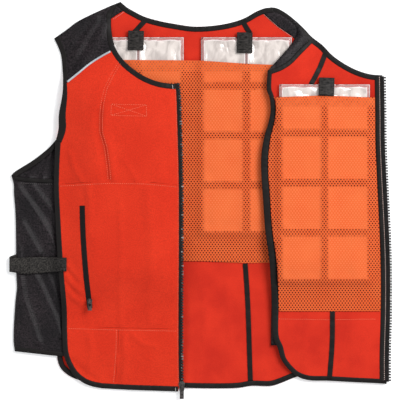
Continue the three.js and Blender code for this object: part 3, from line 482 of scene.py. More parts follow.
# Spun polyester threads: a soft shine, each a little paler or darker along its length
spun = {"Roughness": 0.6, "Sheen Weight": 0.3}
tanThread = cloudyToneAndGlints("polyesterThread", "#F0906C", "#E07C58", spun)
greyThread = cloudyToneAndGlints("greyThread", "#77706D", "#5A5452", spun)
whiteThread = cloudyToneAndGlints("whiteThread", "#E9E2DC", "#D8CFC9", spun)
pinkThread = cloudyToneAndGlints("pinkThread", "#F6BBAC", "#EFA191", spun)
coilThread = cloudyToneAndGlints("coilStitching", "#F0DACF", "#B98E84", spun)
# Painted shadow in the shell's seams: matt and darker than the shell
seamShadow = cloudyToneAndGlints("paintedSeamShadow", "#8E1F10", "#7C190C", {"Roughness": 0.9, "Specular IOR Level": 0.1})
print("materials ready")

# The vest's edges and seams, in percent of the layout
shoulderFold = smoothLine([(30.1, .5), (26.5, 2), (22.3, 3.9), (19.1, 5.6), (16.6, 7.5), (13.6, 9.6)])
rightArmhole = smoothLine([(13.6, 9.6), (14.5, 11.5), (15.3, 13.7), (15.7, 17.5), (15.85, 20.4), (15.7, 23.6),
                           (14.8, 28.8), (14.7, 32.5), (14, 35.3)])
rightSide = smoothLine([(14, 35.3), (13.7, 40.3), (13.55, 47), (13.9, 54.5), (14.7, 67.8), (15.5, 77),
                        (15.6, 83.5), (15.95, 88.3), (16.9, 91.1), (18.5, 93.7), (20.8, 95.6), (23, 96.5),
                        (25.5, 97)])
rightHem = smoothLine([(25.5, 97), (31.9, 97.35), (44.5, 97.8)])
rightZip = smoothLine([(44.9, 96.5), (44.8, 91.5), (44.75, 82), (44.8, 72), (44.85, 57.5), (44.8, 44.8), (44.5, 32),
                       (44.15, 23), (43.85, 20.9)])
rightNeck = smoothLine([(44.2, 21.05), (43.6, 21.1), (39.85, 20.6), (36.35, 19.3), (33.2, 17.25), (30.75, 15),
                        (28.8, 12), (27.95, 8.6), (27.7, 5.75), (27.9, 3.6), (29, 1.6), (29.9, 0.7)])
rightYokeSeam = smoothLine([(28.2, 12.6), (25.4, 14.1), (22.3, 16.1), (19.4, 18.5), (16.4, 20.9)])
backNeck = smoothLine([(30.1, 0.55), (31.7, 1.9), (33.6, 3), (36, 4.2), (40, 5.35), (44, 6.1), (48.25, 6.7),
                       (53.2, 6.5), (57.65, 5.75), (61.15, 4.6), (64, 3), (66.3, 2.1), (68.3, 1.95)])
backLeftShoulder = smoothLine([(66.3, 2.2), (70.2, 3.5), (74.2, 6.7), (79, 11.6), (80.2, 15.2)])
backLeftSide = smoothLine([(80.2, 15.2), (77.5, 25), (79, 36), (83, 41.3), (83, 65), (82.6, 86)])
backHem = smoothLine([(82.6, 86), (80.5, 90.5), (76.5, 93.4), (73.6, 94.3), (70.4, 95.6), (67.85, 96.4),
                      (62.75, 96.4), (59.6, 96.9), (50, 97), (40, 96.6), (30, 96.2), (24, 95.4), (19.8, 94.95),
                      (17.2, 93.8), (15.3, 92.1), (14.5, 90.2), (14.3, 88.6)])
backRightSide = smoothLine([(14.3, 88.6), (14.3, 60), (14.3, 34)])
backRightArmhole = smoothLine([(14.3, 34), (16.2, 23), (15.9, 15), (13.9, 9.75)])
backSeamRight = smoothLine([(31, 2.65), (27.9, 4.65), (22, 9.8), (16, 18.5)])
backSeamLeft = smoothLine([(65.9, 3.6), (69.4, 6.7), (73.5, 9.6), (78.4, 17)])
sideTop = smoothLine([(14.9, 33.9), (12.75, 36.5), (10.5, 38.5), (8, 40.35), (5.4, 41.95), (3.4, 43.3),
                      (2.95, 43.9)])
sideFold = smoothLine([(3.2, 43.4), (3.75, 45.5), (3.8, 48), (4.15, 52.8), (4.3, 69), (4.4, 71.8), (4, 75.5), (3.5, 85),
                       (3.8, 87.75)])
leftNeck = smoothLine([(67.6, 1.9), (69, 2.05), (71.4, 3.3), (73.7, 5.1), (75.9, 7.15), (77.8, 9.2), (80.5, 11.3),
                       (83, 13.9), (86.15, 16.1), (89.35, 17.7), (92.55, 18.65), (95.6, 18.9)])
leftZip = smoothLine([(95.6, 19.1), (95.75, 28.75), (95.8, 35.3), (96.2, 44.8), (96.9, 59.75), (97.15, 69), (97.1, 79),
                      (96.85, 88.3), (96.85, 95.4)])
leftHem = smoothLine([(96.6, 95.9), (94.65, 95.75), (88.25, 95.45), (81.9, 95.1), (77.1, 94.95), (74.25, 94),
                      (72.3, 92.4), (70.4, 89.85), (69.45, 86.7)])
leftSide = smoothLine([(69.45, 86.7), (68.5, 84.5), (68.4, 77), (68.3, 72.25), (67.85, 65.25), (66.75, 57),
                       (66.25, 49.5), (65.85, 44), (65.8, 39.4), (66.4, 34.25), (67.3, 30.5), (67.7, 27.25),
                       (67.4, 24.4), (66.75, 22.5), (66.9, 18)])
leftYokeSeam = smoothLine([(78.6, 10.1), (75.25, 13.5), (72.7, 16.1), (70.15, 17.7), (66.6, 18.9)])
leftRidge = smoothLine([(67.3, 2.4), (70.2, 3.8), (72.7, 5.1), (74.1, 6.6), (74.2, 8.3), (73.5, 10.1),
                        (66.8, 17.9)])
leftFold = smoothLine([(66.6, 45), (66.9, 52), (67.5, 59), (68.1, 65.5), (68.2, 72), (67.9, 78), (67.8, 86.3)])
pocketLine = smoothLine([(20.6, 51.4), (20.8, 58), (21.5, 68), (22.5, 77)])

gap = 0.0004  # m between one layer and the next
yokeThickness = 0.0016
meshSizes = {"thickness": 0.0006, "drape": 0.014, "hemShade": 0.30, "hemShare": 0.12}  # the hem is doubled, so paler: its holes take less painted shade


def topOf(*names):
    return fillOut(cast([cadNodes[name] for name in names]))


def undersideOf(name):
    return fillOut(cast([cadNodes[name]], below=True))


# Height of each layer, softened as cloth lies
rightTop = soften(topOf("right_front_panel", "right_yoke"), 0.008)
leftTop = soften(topOf("left_front_panel", "left_yoke"), 0.007)
backTop = np.full(gridShape, 0.002)
print("heights read")

# Packs: a flat pouch of two films welded in cells, blown up by a cloth simulation
packSizes = {"across": 0.1472, "down": 0.3176, "columns": 2, "rows": 4, "weld": 0.004, "thickness": 0.0088,
             "cell": 0.0042, "pressure": 5.0, "frames": 22, "slack": 0.06, "rim": 0.0007, "lift": 0.001,
             "drawIn": (0.985, 0.99), "underShell": 0.0045}
packNodes = {"backRightPack": "back_right_pack", "backLeftPack": "back_left_pack",
             "rightFrontPack": "right_front_pack", "leftFrontPack": "left_front_pack"}
turnedPacks = ("backLeftPack", "rightFrontPack")  # laid the other way up and round, so that no two look alike


def onWeld(x, y):
    p = packSizes
    u = (x / p["across"] + 0.5) * p["columns"]
    v = (y / p["down"] + 0.5) * p["rows"]
    du = abs(u - round(u)) * p["across"] / p["columns"]
    dv = abs(v - round(v)) * p["down"] / p["rows"]
    return min(du, dv) < p["weld"] / 2


def blowPack():
    p = packSizes
    bm = bmesh.new()
    bmesh.ops.create_grid(bm, x_segments=round(p["across"] / p["cell"]), y_segments=round(p["down"] / p["cell"]),
                          size=0.5)
    uv = bm.loops.layers.uv.new("UVMap")
    for face in bm.faces:
        for loop in face.loops:
            loop[uv].uv = (loop.vert.co.x + 0.5, loop.vert.co.y + 0.5)
    bmesh.ops.scale(bm, verts=bm.verts, vec=(p["across"], p["down"], 1.0))
    lower = bmesh.ops.duplicate(bm, geom=bm.verts[:] + bm.edges[:] + bm.faces[:])["geom"]
    bmesh.ops.reverse_faces(bm, faces=[g for g in lower if isinstance(g, bmesh.types.BMFace)])
    lowerVerts = {g for g in lower if isinstance(g, bmesh.types.BMVert)}
    for v in bm.verts:
        edge = max(abs(v.co.x) / p["across"], abs(v.co.y) / p["down"]) > 0.4999
        lift = 0.0 if edge else p["rim"] / 2 + (0.0 if onWeld(v.co.x, v.co.y) else p["lift"])
        v.co.z = -lift if v in lowerVerts else lift
    bmesh.ops.remove_doubles(bm, verts=bm.verts, dist=1e-5)
    data = bpy.data.meshes.new("pouch")
    bm.to_mesh(data)
    bm.free()
    pouch = bpy.data.objects.new("pouch", data)
    bpy.context.scene.collection.objects.link(pouch)
    pinned = pouch.vertex_groups.new(name="welds")
    pinned.add([v.index for v in data.vertices if onWeld(v.co.x, v.co.y)], 1.0, "REPLACE")
    simulation = pouch.modifiers.new("inflate", "CLOTH")
    simulation.settings.effector_weights.gravity = 0.0
    simulation.collision_settings.use_collision = False
    simulation.collision_settings.use_self_collision = False
    filmCloth = {
        "quality": 6, "mass": 0.2, "tension_stiffness": 12, "compression_stiffness": 12, "shear_stiffness": 4,
        "bending_stiffness": 0.05, "use_pressure": True, "uniform_pressure_force": p["pressure"],
        "shrink_min": -p["slack"], "vertex_group_mass": "welds", "pin_stiffness": 1.0,
    }
    for key, value in filmCloth.items():
        setattr(simulation.settings, key, value)
    for step in range(1, p["frames"] + 1):
        bpy.context.scene.frame_set(step)
    blown = bpy.data.meshes.new_from_object(pouch.evaluated_get(bpy.context.evaluated_depsgraph_get()))
    bpy.context.scene.frame_set(1)
    heights = np.array([v.co.z for v in blown.vertices])
    squeeze = p["thickness"] / (heights.max() - heights.min())
    for v in blown.vertices:
        v.co.z = (v.co.z - heights.min()) * min(1.0, squeeze)
        v.co.x = min(max(v.co.x, -p["across"] / 2), p["across"] / 2)
        v.co.y = min(max(v.co.y, -p["down"] / 2), p["down"] / 2)
    bpy.data.objects.remove(pouch)
    print("pack blown:", len(blown.vertices), "points,", round((heights.max() - heights.min()) * 1000, 1), "mm")
    return blown


def layPacks():
    blown = blowPack()
    shrinkX, shrinkY = packSizes["drawIn"]
    packs = {}
    for name, node in packNodes.items():
        low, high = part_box(node)
        centre = (low + high) / 2
        under = soften(undersideOf(node), 0.006)
        bm = bmesh.new()
        bm.from_mesh(blown)
        turn = -1 if name in turnedPacks else 1
        for v in bm.verts:
            x, y = centre.x + turn * v.co.x * shrinkX, centre.y + turn * v.co.y * shrinkY
            v.co = Vector((x, y, heightAt(under, x, y) + gap + v.co.z))
            if name == "rightFrontPack":
                v.co.z = min(v.co.z, heightAt(rightTop, x, y) - packSizes["underShell"])
        bmesh.ops.recalc_face_normals(bm, faces=bm.faces)
        packs[name] = newPiece(name, bm, film)
        dress(packs[name], node)
    return packs


packs = layPacks()
packTop = {name: cast([pack]) for name, pack in packs.items()}
print("packs laid")


def grow(field, rounds=1):  # the highest value within a cell or two
    for _ in range(rounds):
        for shift in ((0, 1), (0, -1), (1, 0), (-1, 0)):
            field = np.fmax(field, np.roll(field, shift, (0, 1)))
    return field


def over(floor, *tops):  # cloth lying on a floor and on what stands on it
    height = floor.copy()
    for top in tops:
        height = np.fmax(height, grow(top, 2) + gap + meshSizes["thickness"])
    return soften(np.fmax(soften(height, meshSizes["drape"], rounds=2), height), 0.002, rounds=1)


def weldsOf(name, reach=0.0056):  # 1 over a pack's welds, falling to 0 at the reach beside them
    low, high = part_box(packNodes[name])
    p = packSizes
    x, y = np.meshgrid((gridX - low.x) / (high.x - low.x), (gridY - low.y) / (high.y - low.y))
    apart = np.minimum(abs(x * p["columns"] - np.round(x * p["columns"])) * p["across"] / p["columns"],
                       abs(y * p["rows"] - np.round(y * p["rows"])) * p["down"] / p["rows"])
    return np.where((x > 0) & (x < 1) & (y > 0) & (y < 1), np.clip(2.4 - 2.2 * apart / reach, 0, 1), 1.0)


def markShadeBehind(piece, names, hem):  # how far behind the mesh the next thing lies, 0 to 1, kept as the painted shade for its holes; a doubled hem hides it, so takes less
    shadeDepth = np.ones(gridShape)
    for name in names:
        shadeDepth = np.minimum(shadeDepth, weldsOf(name))
    doubled = gridY > hem
    shadeDepth[doubled] = meshSizes["hemShade"] + meshSizes["hemShare"] * shadeDepth[doubled]
    shadeBehind = piece.data.attributes.new("shadeBehind", "FLOAT", "POINT")
    shadeBehind.data.foreach_set("value", [heightAt(shadeDepth, v.co.x, v.co.y) for v in piece.data.vertices])


# Back: lining side up, lying on the floor
backNeckMiddle = [p for p in backNeck if place(31.6, 0).x < p.x < place(65.4, 0).x]
backArmholeLow = [p for p in backRightArmhole if p.y < place(0, 19).y]
backOutline = ringOf(backNeckMiddle, backSeamLeft, backLeftSide[2:], backHem, backRightSide, backArmholeLow,
                     backSeamRight[::-1])
backRelief = (0.00045 * crumple(3, 0.03, 0.05) + 0.0003 * crumple(4, 0.011)
              + pucker([(23, 96), (45, 96.6), (60, 96.6), (80, 91)], 0.012, 0.008, 0.0005, 5)
              + ridge([(50, 69), (51.5, 80), (49.5, 95)], 0.006, 0.0009)
              + ridge([(56.5, 70), (57.5, 84), (56, 94)], 0.005, 0.0008)
              + ridge([(46.5, 68), (47.5, 82), (46.5, 95)], 0.004, 0.0007))
backField = backTop + np.clip(backRelief + 0.0004, 0, 0.003)
cutCloth("backLining", backOutline, backField, liningCloth, "back_panel")
yokeBackOutline = ringOf(shoulderFold, [p for p in backRightArmhole[::-1] if p.y > place(0, 18).y],
                         backSeamRight[::-1])
cutCloth("rightYokeBack", yokeBackOutline, backField + 0.0004, knitCloth,
         thickness=yokeThickness)
backMeshOutline = polyline([(22, 15), (30.5, 15), (50, 15.15), (61.5, 15.95), (68.75, 16.25), (74.6, 16.4),
                            (74.6, 65.5), (67.5, 65.65), (61.75, 65.8), (50, 65.3), (22, 65.3)])
backMeshField = over(backField + 0.0014, packTop["backRightPack"], packTop["backLeftPack"])
backMeshField += 0.0002 * crumple(8, 0.012)
backMesh = cutCloth("backMeshPocket", ringOf(backMeshOutline), backMeshField, meshCloth,
                    "back_mesh_pocket", thickness=meshSizes["thickness"])
# painted shade for the back mesh's holes
markShadeBehind(backMesh, ["backRightPack", "backLeftPack"], place(0, 18.2).y)
print("back laid")

# Right front: the outside of the shell, over its pocket and pack
rightRelief = 0.0006 * crumple(11, 0.026, 0.09) + 0.00022 * crumple(12, 0.007, 0.022)
princess = [(29.8, 15.3), (28.05, 18.2), (26.15, 22), (25.35, 25.5), (25, 28.75), (25, 33), (26.15, 36.85),
            (26.8, 41.6), (27.1, 45.15)]
waistSeam = [(15, 46), (27.1, 45.3), (36.35, 45.45), (44.65, 46.25)]
hemSeam = [(17.05, 81.55), (28.7, 81.9), (44.65, 82.2)]
panelSeam = [(29.65, 82.4), (29.5, 88.25), (28.85, 95.9)]
for k, seam in enumerate((princess, waistSeam, hemSeam, panelSeam)):
    rightRelief += ridge(seam, 0.0022, -0.0009) + pucker(seam, 0.011, 0.008, 0.0006, 20 + k)
frontCreases = {  # line, width and height in metres
    "princessFold": ([(26.3, 27.5), (25.9, 33), (27.6, 38), (28.5, 44.8)], 0.0034, 0.0038),
    "princessHollow": ([(24.4, 28), (24.2, 33), (25.6, 38.5), (26.2, 45)], 0.0030, -0.0026),
    "besideBox": ([(27, 27), (27.3, 33), (28.4, 38)], 0.0028, 0.0022),
    "lowerFold": ([(30, 50), (30.3, 62), (30, 81)], 0.0035, 0.0020),
    "waistLeft": ([(17.5, 38), (18.5, 42), (20.5, 45.2)], 0.0032, 0.0024),
    "waistRight": ([(31, 40), (33, 43), (34, 45)], 0.0030, 0.0020),
    "belowWaist": ([(22, 46.5), (22.6, 52), (22.2, 58)], 0.0040, 0.0024),
    "strapFold": ([(15.6, 67), (17.6, 70.5), (20.2, 73)], 0.0030, 0.0038),
    "strapFoldTwo": ([(15.9, 71), (17.8, 74), (20.6, 76)], 0.0028, 0.0032),
    "strapFoldThree": ([(16.6, 66), (18.4, 68), (20, 70)], 0.0026, 0.0026),
    "zipSide": ([(42.3, 24), (43.2, 32), (42.8, 42)], 0.0045, 0.0024),
    "wideMiddle": ([(37, 48), (38, 60), (37.5, 80)], 0.0090, 0.0024),
    "underPanel": ([(31, 84), (31.4, 90), (30.6, 95.6)], 0.0034, 0.0026),
    "hemTuckOne": ([(33, 83.5), (35.5, 86), (39, 86.5)], 0.0032, 0.0022),
    "hemTuckTwo": ([(22, 83), (23, 88), (22, 93)], 0.0045, 0.0024),
    "cornerFold": ([(18, 90), (20.5, 92.6), (24, 95)], 0.0034, -0.0020),
}
for table, width, height in frontCreases.values():
    rightRelief += ridge(table, width, height)
rightField = rightTop + rightRelief
neckCut = [p for p in rightNeck if p.y < rightYokeSeam[0].y - 0.002]
frontOutline = ringOf([p for p in rightArmhole if p.y < rightYokeSeam[-1].y - 0.002], rightSide,
                      rightHem, rightZip, neckCut, rightYokeSeam)
cutCloth("rightFrontShell", frontOutline, rightField, shellCloth, "right_front_panel")

yokeField = (rightTop + 0.0004 * crumple(31, 0.014) + 0.0002 * crumple(32, 0.006)
             + ridge([(25.8, 3.8), (21.3, 12), (17.5, 18)], 0.0028, -0.0022)
             + ridge([(23.3, 5), (19.5, 10), (17.3, 14)], 0.0026, -0.0018)
             + ridge([(24.3, 5), (20.2, 11.3), (17, 16.5)], 0.0034, 0.0012)
             + ridge([(27, 6), (23.6, 11.6), (20.5, 16)], 0.0036, 0.0012))
yokeOutline = ringOf(shoulderFold, [p for p in rightArmhole if p.y >= rightYokeSeam[-1].y + 0.001], rightYokeSeam[::-1],
                     [p for p in rightNeck if p.y >= rightYokeSeam[0].y + 0.001])
cutCloth("rightYoke", yokeOutline, yokeField, knitCloth, "right_yoke")


def boxOutline(node):  # the outline of a node's box, seen from above
    low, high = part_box(node)
    corners = [(low.x, low.y), (high.x, low.y), (high.x, high.y), (low.x, high.y), (low.x, low.y)]
    return ringOf(even([Vector((x, y, 0.0)) for x, y in corners], 0.006))


# Right front's inner side: the mesh pocket, hidden under the shell
pocketUnder = undersideOf("right_front_mesh_pocket")
cutCloth("rightFrontMeshPocket", boxOutline("right_front_mesh_pocket"), soften(pocketUnder + 0.0009, 0.004),
         meshCloth, "right_front_mesh_pocket", thickness=meshSizes["thickness"], cell=0.006)

# Bindings: tape folded over an edge, with the small gathers that its stitching pulls in
bindingSizes = {"width": 0.0086, "thickness": 0.0034, "gather": 0.0003, "proud": 0.0012, "step": 0.0022,
                "gathers": (0.006, 0.011)}  # m; gathers: the least and the greatest from one to the next


def bindEdge(name, line, side, field, node, seed, middle=-0.0008, width=None, tight=1.0, outward=0.0):
    sizes = bindingSizes
    widths = width if isinstance(width, dict) else {0.0: width or sizes["width"]}
    length = lengthOf(line)
    rng = np.random.default_rng(seed)
    waves = [(rng.uniform(*sizes["gathers"]), rng.uniform(0, 6.3), rng.uniform(0, 3)) for _ in range(4)]

    def shape(s, t):
        point, left = along(line, t)
        angle = 2 * math.pi * s
        across = 0.5 - 0.5 * math.copysign(abs(math.cos(angle)) ** 0.6, math.cos(angle))  # 0 outer edge, 1 inner edge
        rise = math.copysign(abs(math.sin(angle)) ** 0.55, math.sin(angle))
        d = length * t
        gather = sum(math.sin(2 * math.pi * d / size + phase + across * lean) for size, phase, lean in waves) / 4
        wide = float(np.interp(t, list(widths), list(widths.values())))
        reach = -outward * max(0.0,
                               wide - sizes["width"]) - sizes["proud"] * 0.4 + (wide + gather * 0.0001) * across
        x, y = point.x + left.x * side * reach, point.y + left.y * side * reach
        level = heightAt(field, x, y) + middle
        height = level + tight * (rise * sizes["thickness"] / 2 + gather * sizes["gather"] * max(rise, 0))
        return Vector((x, y, max(height, 0.0)))

    piece = loft(name, 14, max(4, round(length / sizes["step"])), shape, bindingCloth,
                 size=(2 * sizes["width"], length))
    dress(piece, node)


bindEdge("backNeckBinding", backNeck, -1, backField, "back_neck_binding", 1, middle=-0.0004)
bindEdge("backHemBinding", backHem, -1, backField, "back_hem_binding", 2, middle=-0.0004)
bindEdge("rightArmholeBinding", rightArmhole, 1, rightField, "right_armhole_binding", 3,
         width={0.0: 0.0088, 0.2: 0.0083, 0.44: 0.0064, 0.6: 0.0092, 0.75: 0.0116, 0.85: 0.0126, 0.92: 0.0115,
                1.0: 0.0100})
bindEdge("rightEdgeBinding", ringOf(rightArmhole[-2:-1], rightSide, rightHem[1:]), 1, rightField,
         "right_front_edge_binding", 4)
bindEdge("rightNeckBinding", rightNeck, 1, rightField, "right_front_neck_binding", 5,
         width={0.0: 0.0086, 0.88: 0.0086, 1.0: 0.0016})


def pipeSeam(name, line, field, node, radius=0.0017):
    length = lengthOf(line)

    def shape(s, t):
        point, left = along(line, t)
        angle = 2 * math.pi * s
        x, y = point.x + left.x * radius * math.cos(angle), point.y + left.y * radius * math.cos(angle)
        return Vector((x, y, heightAt(field, x, y) + radius * math.sin(angle) + 0.0003))

    piece = loft(name, 10, round(length / 0.003), shape, pipingCloth, size=(2 * math.pi * radius, length))
    dress(piece, node)


pipeSeam("reflectivePiping", rightYokeSeam[1:-1], np.maximum(rightField, yokeField), "reflective_piping")


tapeRipples = ((0.0002, 0.0031), (0.0001, 0.0017))  # height and length of each, in metres


def layTape(name, line, width, field, material, node, thickness=0.001, rise=0.0, seed=0):
    length = lengthOf(line)
    ripple = np.random.default_rng(seed).uniform(0, 6.3, 2)

    def shape(s, t):
        point, left = along(line, t)
        angle = 2 * math.pi * s
        across = -math.copysign(abs(math.cos(angle)) ** 0.3, math.cos(angle))
        up = math.copysign(abs(math.sin(angle)) ** 0.3, math.sin(angle))
        x, y = point.x + left.x * across * width / 2, point.y + left.y * across * width / 2
        wave = sum(h * math.sin(length * t / reach + start) for (h, reach), start in zip(tapeRipples, ripple))
        return Vector((x, y, heightAt(field, x, y) + rise + wave + thickness * (0.5 + up / 2)))

    piece = loft(name, 16, max(4, round(length / 0.0025)), shape, material, size=(2 * width, length))
    dress(piece, node)


# Zip: two cloth tapes and a row of moulded teeth on each front
def layTeeth(name, line, field, node, side, teeth):
    length = lengthOf(line)
    bm = bmesh.new()
    count = int(length / teeth["pitch"])
    for k in range(count):
        point, left = along(line, (k + 0.5) / count)
        x, y = point.x + left.x * side * teeth["reach"], point.y + left.y * side * teeth["reach"]
        turn = Matrix.Rotation(math.atan2(left.y * side, left.x * side), 4, "Z")
        at = Matrix.Translation((x, y, heightAt(field, x, y) + teeth["rise"]))
        made = bmesh.ops.create_cube(bm, size=1.0)["verts"]
        bmesh.ops.scale(bm, verts=made, vec=(teeth["across"], teeth["along"], teeth["thick"]))
        head = [v for v in made if v.co.x > 0]
        bmesh.ops.scale(bm, verts=head, vec=(1.0, 1.15, 0.8))
        edges = list({e for v in made for e in v.link_edges})
        bevelled = bmesh.ops.bevel(bm, geom=edges, offset=0.0003, affect="EDGES", segments=1, profile=0.5,
                                   material=-1)
        shaped = list({v for f in bevelled["faces"] for v in f.verts})
        bmesh.ops.transform(bm, verts=shaped, matrix=at @ turn)
    piece = newPiece(name, bm, teethPlastic, smooth=False)
    dress(piece, node)


# Fewer and larger teeth than on a real zip of 2 mm pitch, so that the row shows; all in metres
teethSizes = {"pitch": 0.0045, "across": 0.0040, "along": 0.0024, "thick": 0.0027, "reach": 0.0050, "rise": 0.0004}
layTape("rightZipTape", beside(rightZip, -0.0025), 0.0062, rightField, tapeCloth, "right_zip_tape",
        seed=6)
layTeeth("rightZipTeeth", rightZip, rightField, "right_zip_teeth", -1, teethSizes)

# Right side panel: stretch knit folded once, open on the wearer's side
sideSizes = {"thickness": 0.0015, "fold": 0.0075, "across": 0.11, "round": 0.006, "dip": 0.0032,
             "sunk": 0.0010, "rimOver": 0.010, "dipOver": 0.012, "dipFrom": 0.001, "dipSlope": 0.003}


def coons(top, bottom, left, right, u, t):
    def at(line, k):
        return along(line, k)[0]
    corner = (at(left, 0) * (1 - u) + at(right, 0) * u) * (1 - t) + (at(left, 1) * (1 - u) + at(right, 1) * u) * t
    return at(top, u) * (1 - t) + at(bottom, u) * t + at(left, t) * (1 - u) + at(right, t) * u - corner


sideInner = polyline([(14.9, 33.9), (14.8, 47), (15.2, 60), (16.2, 75), (17, 83), (17.4, 89)])
sideHemWide = smoothLine([(3.8, 87.75), (9.6, 88.4), (14.2, 88.9), (17.4, 89)])
frontEdge = smoothLine([(3.5, 44.1), (6.7, 44.55), (10, 44.75), (14.6, 44.95)])  # where the nearer layer is bound
sideFolds = [  # line, width and height in metres
    ([(4.4, 47), (6.7, 50), (9.6, 54.2), (12.5, 59.2), (14, 62.5)], 0.0062, 0.0034),
    ([(5.4, 55.8), (7.5, 59.5), (9.6, 63.3)], 0.0056, 0.0030),
    ([(4.9, 69.5), (5.9, 75), (7.65, 80), (9.5, 85.5)], 0.0056, 0.0032),
    ([(8.6, 69), (10.6, 72.8), (13.4, 79), (15, 83.8)], 0.0062, 0.0034),
    ([(12, 69), (13.6, 73), (15, 77)], 0.0050, 0.0020),
    ([(8, 46.5), (11, 50.5), (14, 54)], 0.0056, 0.0024), ([(4.6, 62), (5, 66)], 0.005, 0.002),
]
innerFolds = [([(13.2, 37), (11.6, 41), (10.6, 44.6)], 0.0030, 0.0022),
              ([(10.5, 40), (8.4, 43), (7, 44.6)], 0.0030, 0.0016)]
sideRelief = 0.0005 * crumple(41, 0.014, 0.03) + 0.0002 * crumple(42, 0.006, 0.01)
for table, width, height in sideFolds + innerFolds:
    sideRelief += ridge(table, width, height)


def sideShape(s, t):
    upper = s > 0.5
    u = abs(s - 0.5) * 2
    point = coons(sideTop[::-1], sideHemWide, sideFold, sideInner, u, t)
    inward = u * sideSizes["across"]
    bend = math.sqrt(max(0.0, 1 - (1 - min(1.0, inward / sideSizes["round"])) ** 2))
    middle, half = sideSizes["fold"] / 2, sideSizes["fold"] / 2 - sideSizes["thickness"] / 2
    z = middle + (half if upper else -half) * bend
    if upper:
        z += min(1.0, inward / sideSizes["rimOver"]) * (heightAt(sideRelief, point.x, point.y) - sideSizes["sunk"])
        bound = min(frontEdge, key=lambda p: abs(p.x - point.x)).y
        opened = min(1.0, max(0.0, (point.y - bound + sideSizes["dipFrom"]) / sideSizes["dipSlope"]))
        opened *= min(1.0, inward / sideSizes["dipOver"])
        z -= opened * sideSizes["dip"]
    return Vector((point.x, point.y, max(z, sideSizes["thickness"] / 2)))


sidePanel = loft("rightSidePanel", 72, 96, sideShape, knitCloth, closed=False)
thicken(sidePanel, sideSizes["thickness"], offset=0.0)
dress(sidePanel, "right_side_panel")
sideField = np.full(gridShape, sideSizes["fold"]) + sideRelief * 0.6
bindEdge("sideTopBinding", [p for p in sideTop if p.x < place(14.6, 0).x], 1, sideField, "right_side_top_binding", 7,
         middle=-0.0012, tight=0.9)
bindEdge("sideFrontEdgeBinding", frontEdge, -1, sideField + 0.0006, None, 13, middle=-0.0010, width=0.0062)
bindEdge("sideHemBinding", sideHemWide, 1, sideField, "right_side_hem_binding", 8, middle=-0.0012, tight=0.9,
         width=0.0075)


strapSizes = {  # percent of the layout down, and metres
    "topEdge": {2.4: 64.5, 6: 64.35, 10: 64.2, 16.7: 64.4},
    "lowEdge": {2.9: 68, 5.8: 68.5, 10: 68.3, 15: 67.85, 16.7: 67.8},
    "width": 0.025, "length": 0.11, "thickness": 0.0018, "low": 0.0045, "from": 16.7,
    "fold": 2.75, "sewnAt": 4.4, "lift": 0.0068, "round": 0.0034, "over": 0.80, "turn": 0.90,
    "risesFrom": 12.6, "risesOver": 3.0, "proud": 0.0026, "waves": ((0.0006, 160, 2), (0.0003, 420, 5)),
}


def loftStrap():  # elastic webbing over the side panel, round in an open loop and back to the panel's fold
    p = strapSizes

    def edgeAt(table, across):
        return place(0, float(np.interp(across, list(table), list(table.values())))).y

    def shape(s, t):
        across = p["from"] + (p["fold"] - p["from"]) * min(1.0, t / p["over"])
        x, y = place(across, 0).x, edgeAt(p["topEdge"], across) * (1 - s) + edgeAt(p["lowEdge"], across) * s
        onFront = min(1.0, max(0.0, (across - p["risesFrom"]) / p["risesOver"]))
        onFront = onFront ** 2 * (3 - 2 * onFront)
        level = sideSizes["fold"] + p["proud"]
        level += onFront * (heightAt(rightField, place(16, 0).x, y) - 0.0004 - sideSizes["fold"])
        level += (1 - onFront) * sum(h * math.sin(x * often + s * lean) for h, often, lean in p["waves"])
        if t <= p["over"]:
            return Vector((x, y, level))
        low = p["low"]
        turned = min(1.0, (t - p["over"]) / (p["turn"] - p["over"])) * math.pi
        back = max(0.0, t - p["turn"]) / (1 - p["turn"])
        x -= p["round"] * math.sin(turned) * 0.5
        x += back * (place(p["sewnAt"], 0).x - place(p["fold"], 0).x)
        y += p["lift"] * (1 - s * 0.6) * (0.45 * turned / math.pi + 0.55 * back)
        return Vector((x, y, (level + low) / 2 + (level - low) / 2 * math.cos(turned)))

    strap = loft("sideStrap", 10, 120, shape, webbingCloth, size=(p["width"], p["length"]), closed=False)
    thicken(strap, p["thickness"], offset=0.0)
    dress(strap, "side_strap")


loftStrap()
print("right side laid")

# Left side panel: folded under the turned-open front
leftFoldSizes = {"upperTo": 71.1, "lowerTo": 82.4, "round": 0.004, "wall": 0.0010}  # percent across, and metres
leftShellTop = soften(topOf("left_side_panel"), 0.004)
leftShellUnder = soften(undersideOf("left_side_panel"), 0.004)
leftShellRelief = 0.0008 * crumple(51, 0.012, 0.03)


def leftSideShape(s, t):
    upper = s > 0.6
    u = (s - 0.6) / 0.4 if upper else (0.6 - s) / 0.6
    edge = along(leftFold, t)[0]
    inner = place(leftFoldSizes["upperTo" if upper else "lowerTo"], 0).x - edge.x
    x, y = edge.x + inner * u, edge.y
    bend = math.sqrt(max(0.0, 1 - (1 - min(1.0, inner * u / leftFoldSizes["round"])) ** 2))
    low = heightAt(leftShellUnder, x, y) + leftFoldSizes["wall"]
    high = heightAt(leftShellTop, x, y) - leftFoldSizes["wall"] + min(1.0, u * 4) * heightAt(leftShellRelief, x,
                                                                                             y) * 0.5
    middle = (low + high) / 2
    return Vector((x, y, middle + ((high - middle) if upper else (low - middle)) * bend))


leftShell = loft("leftSidePanel", 60, 70, leftSideShape, knitCloth, closed=False)
thicken(leftShell, 0.0014, offset=0.0)
dress(leftShell, "left_side_panel")

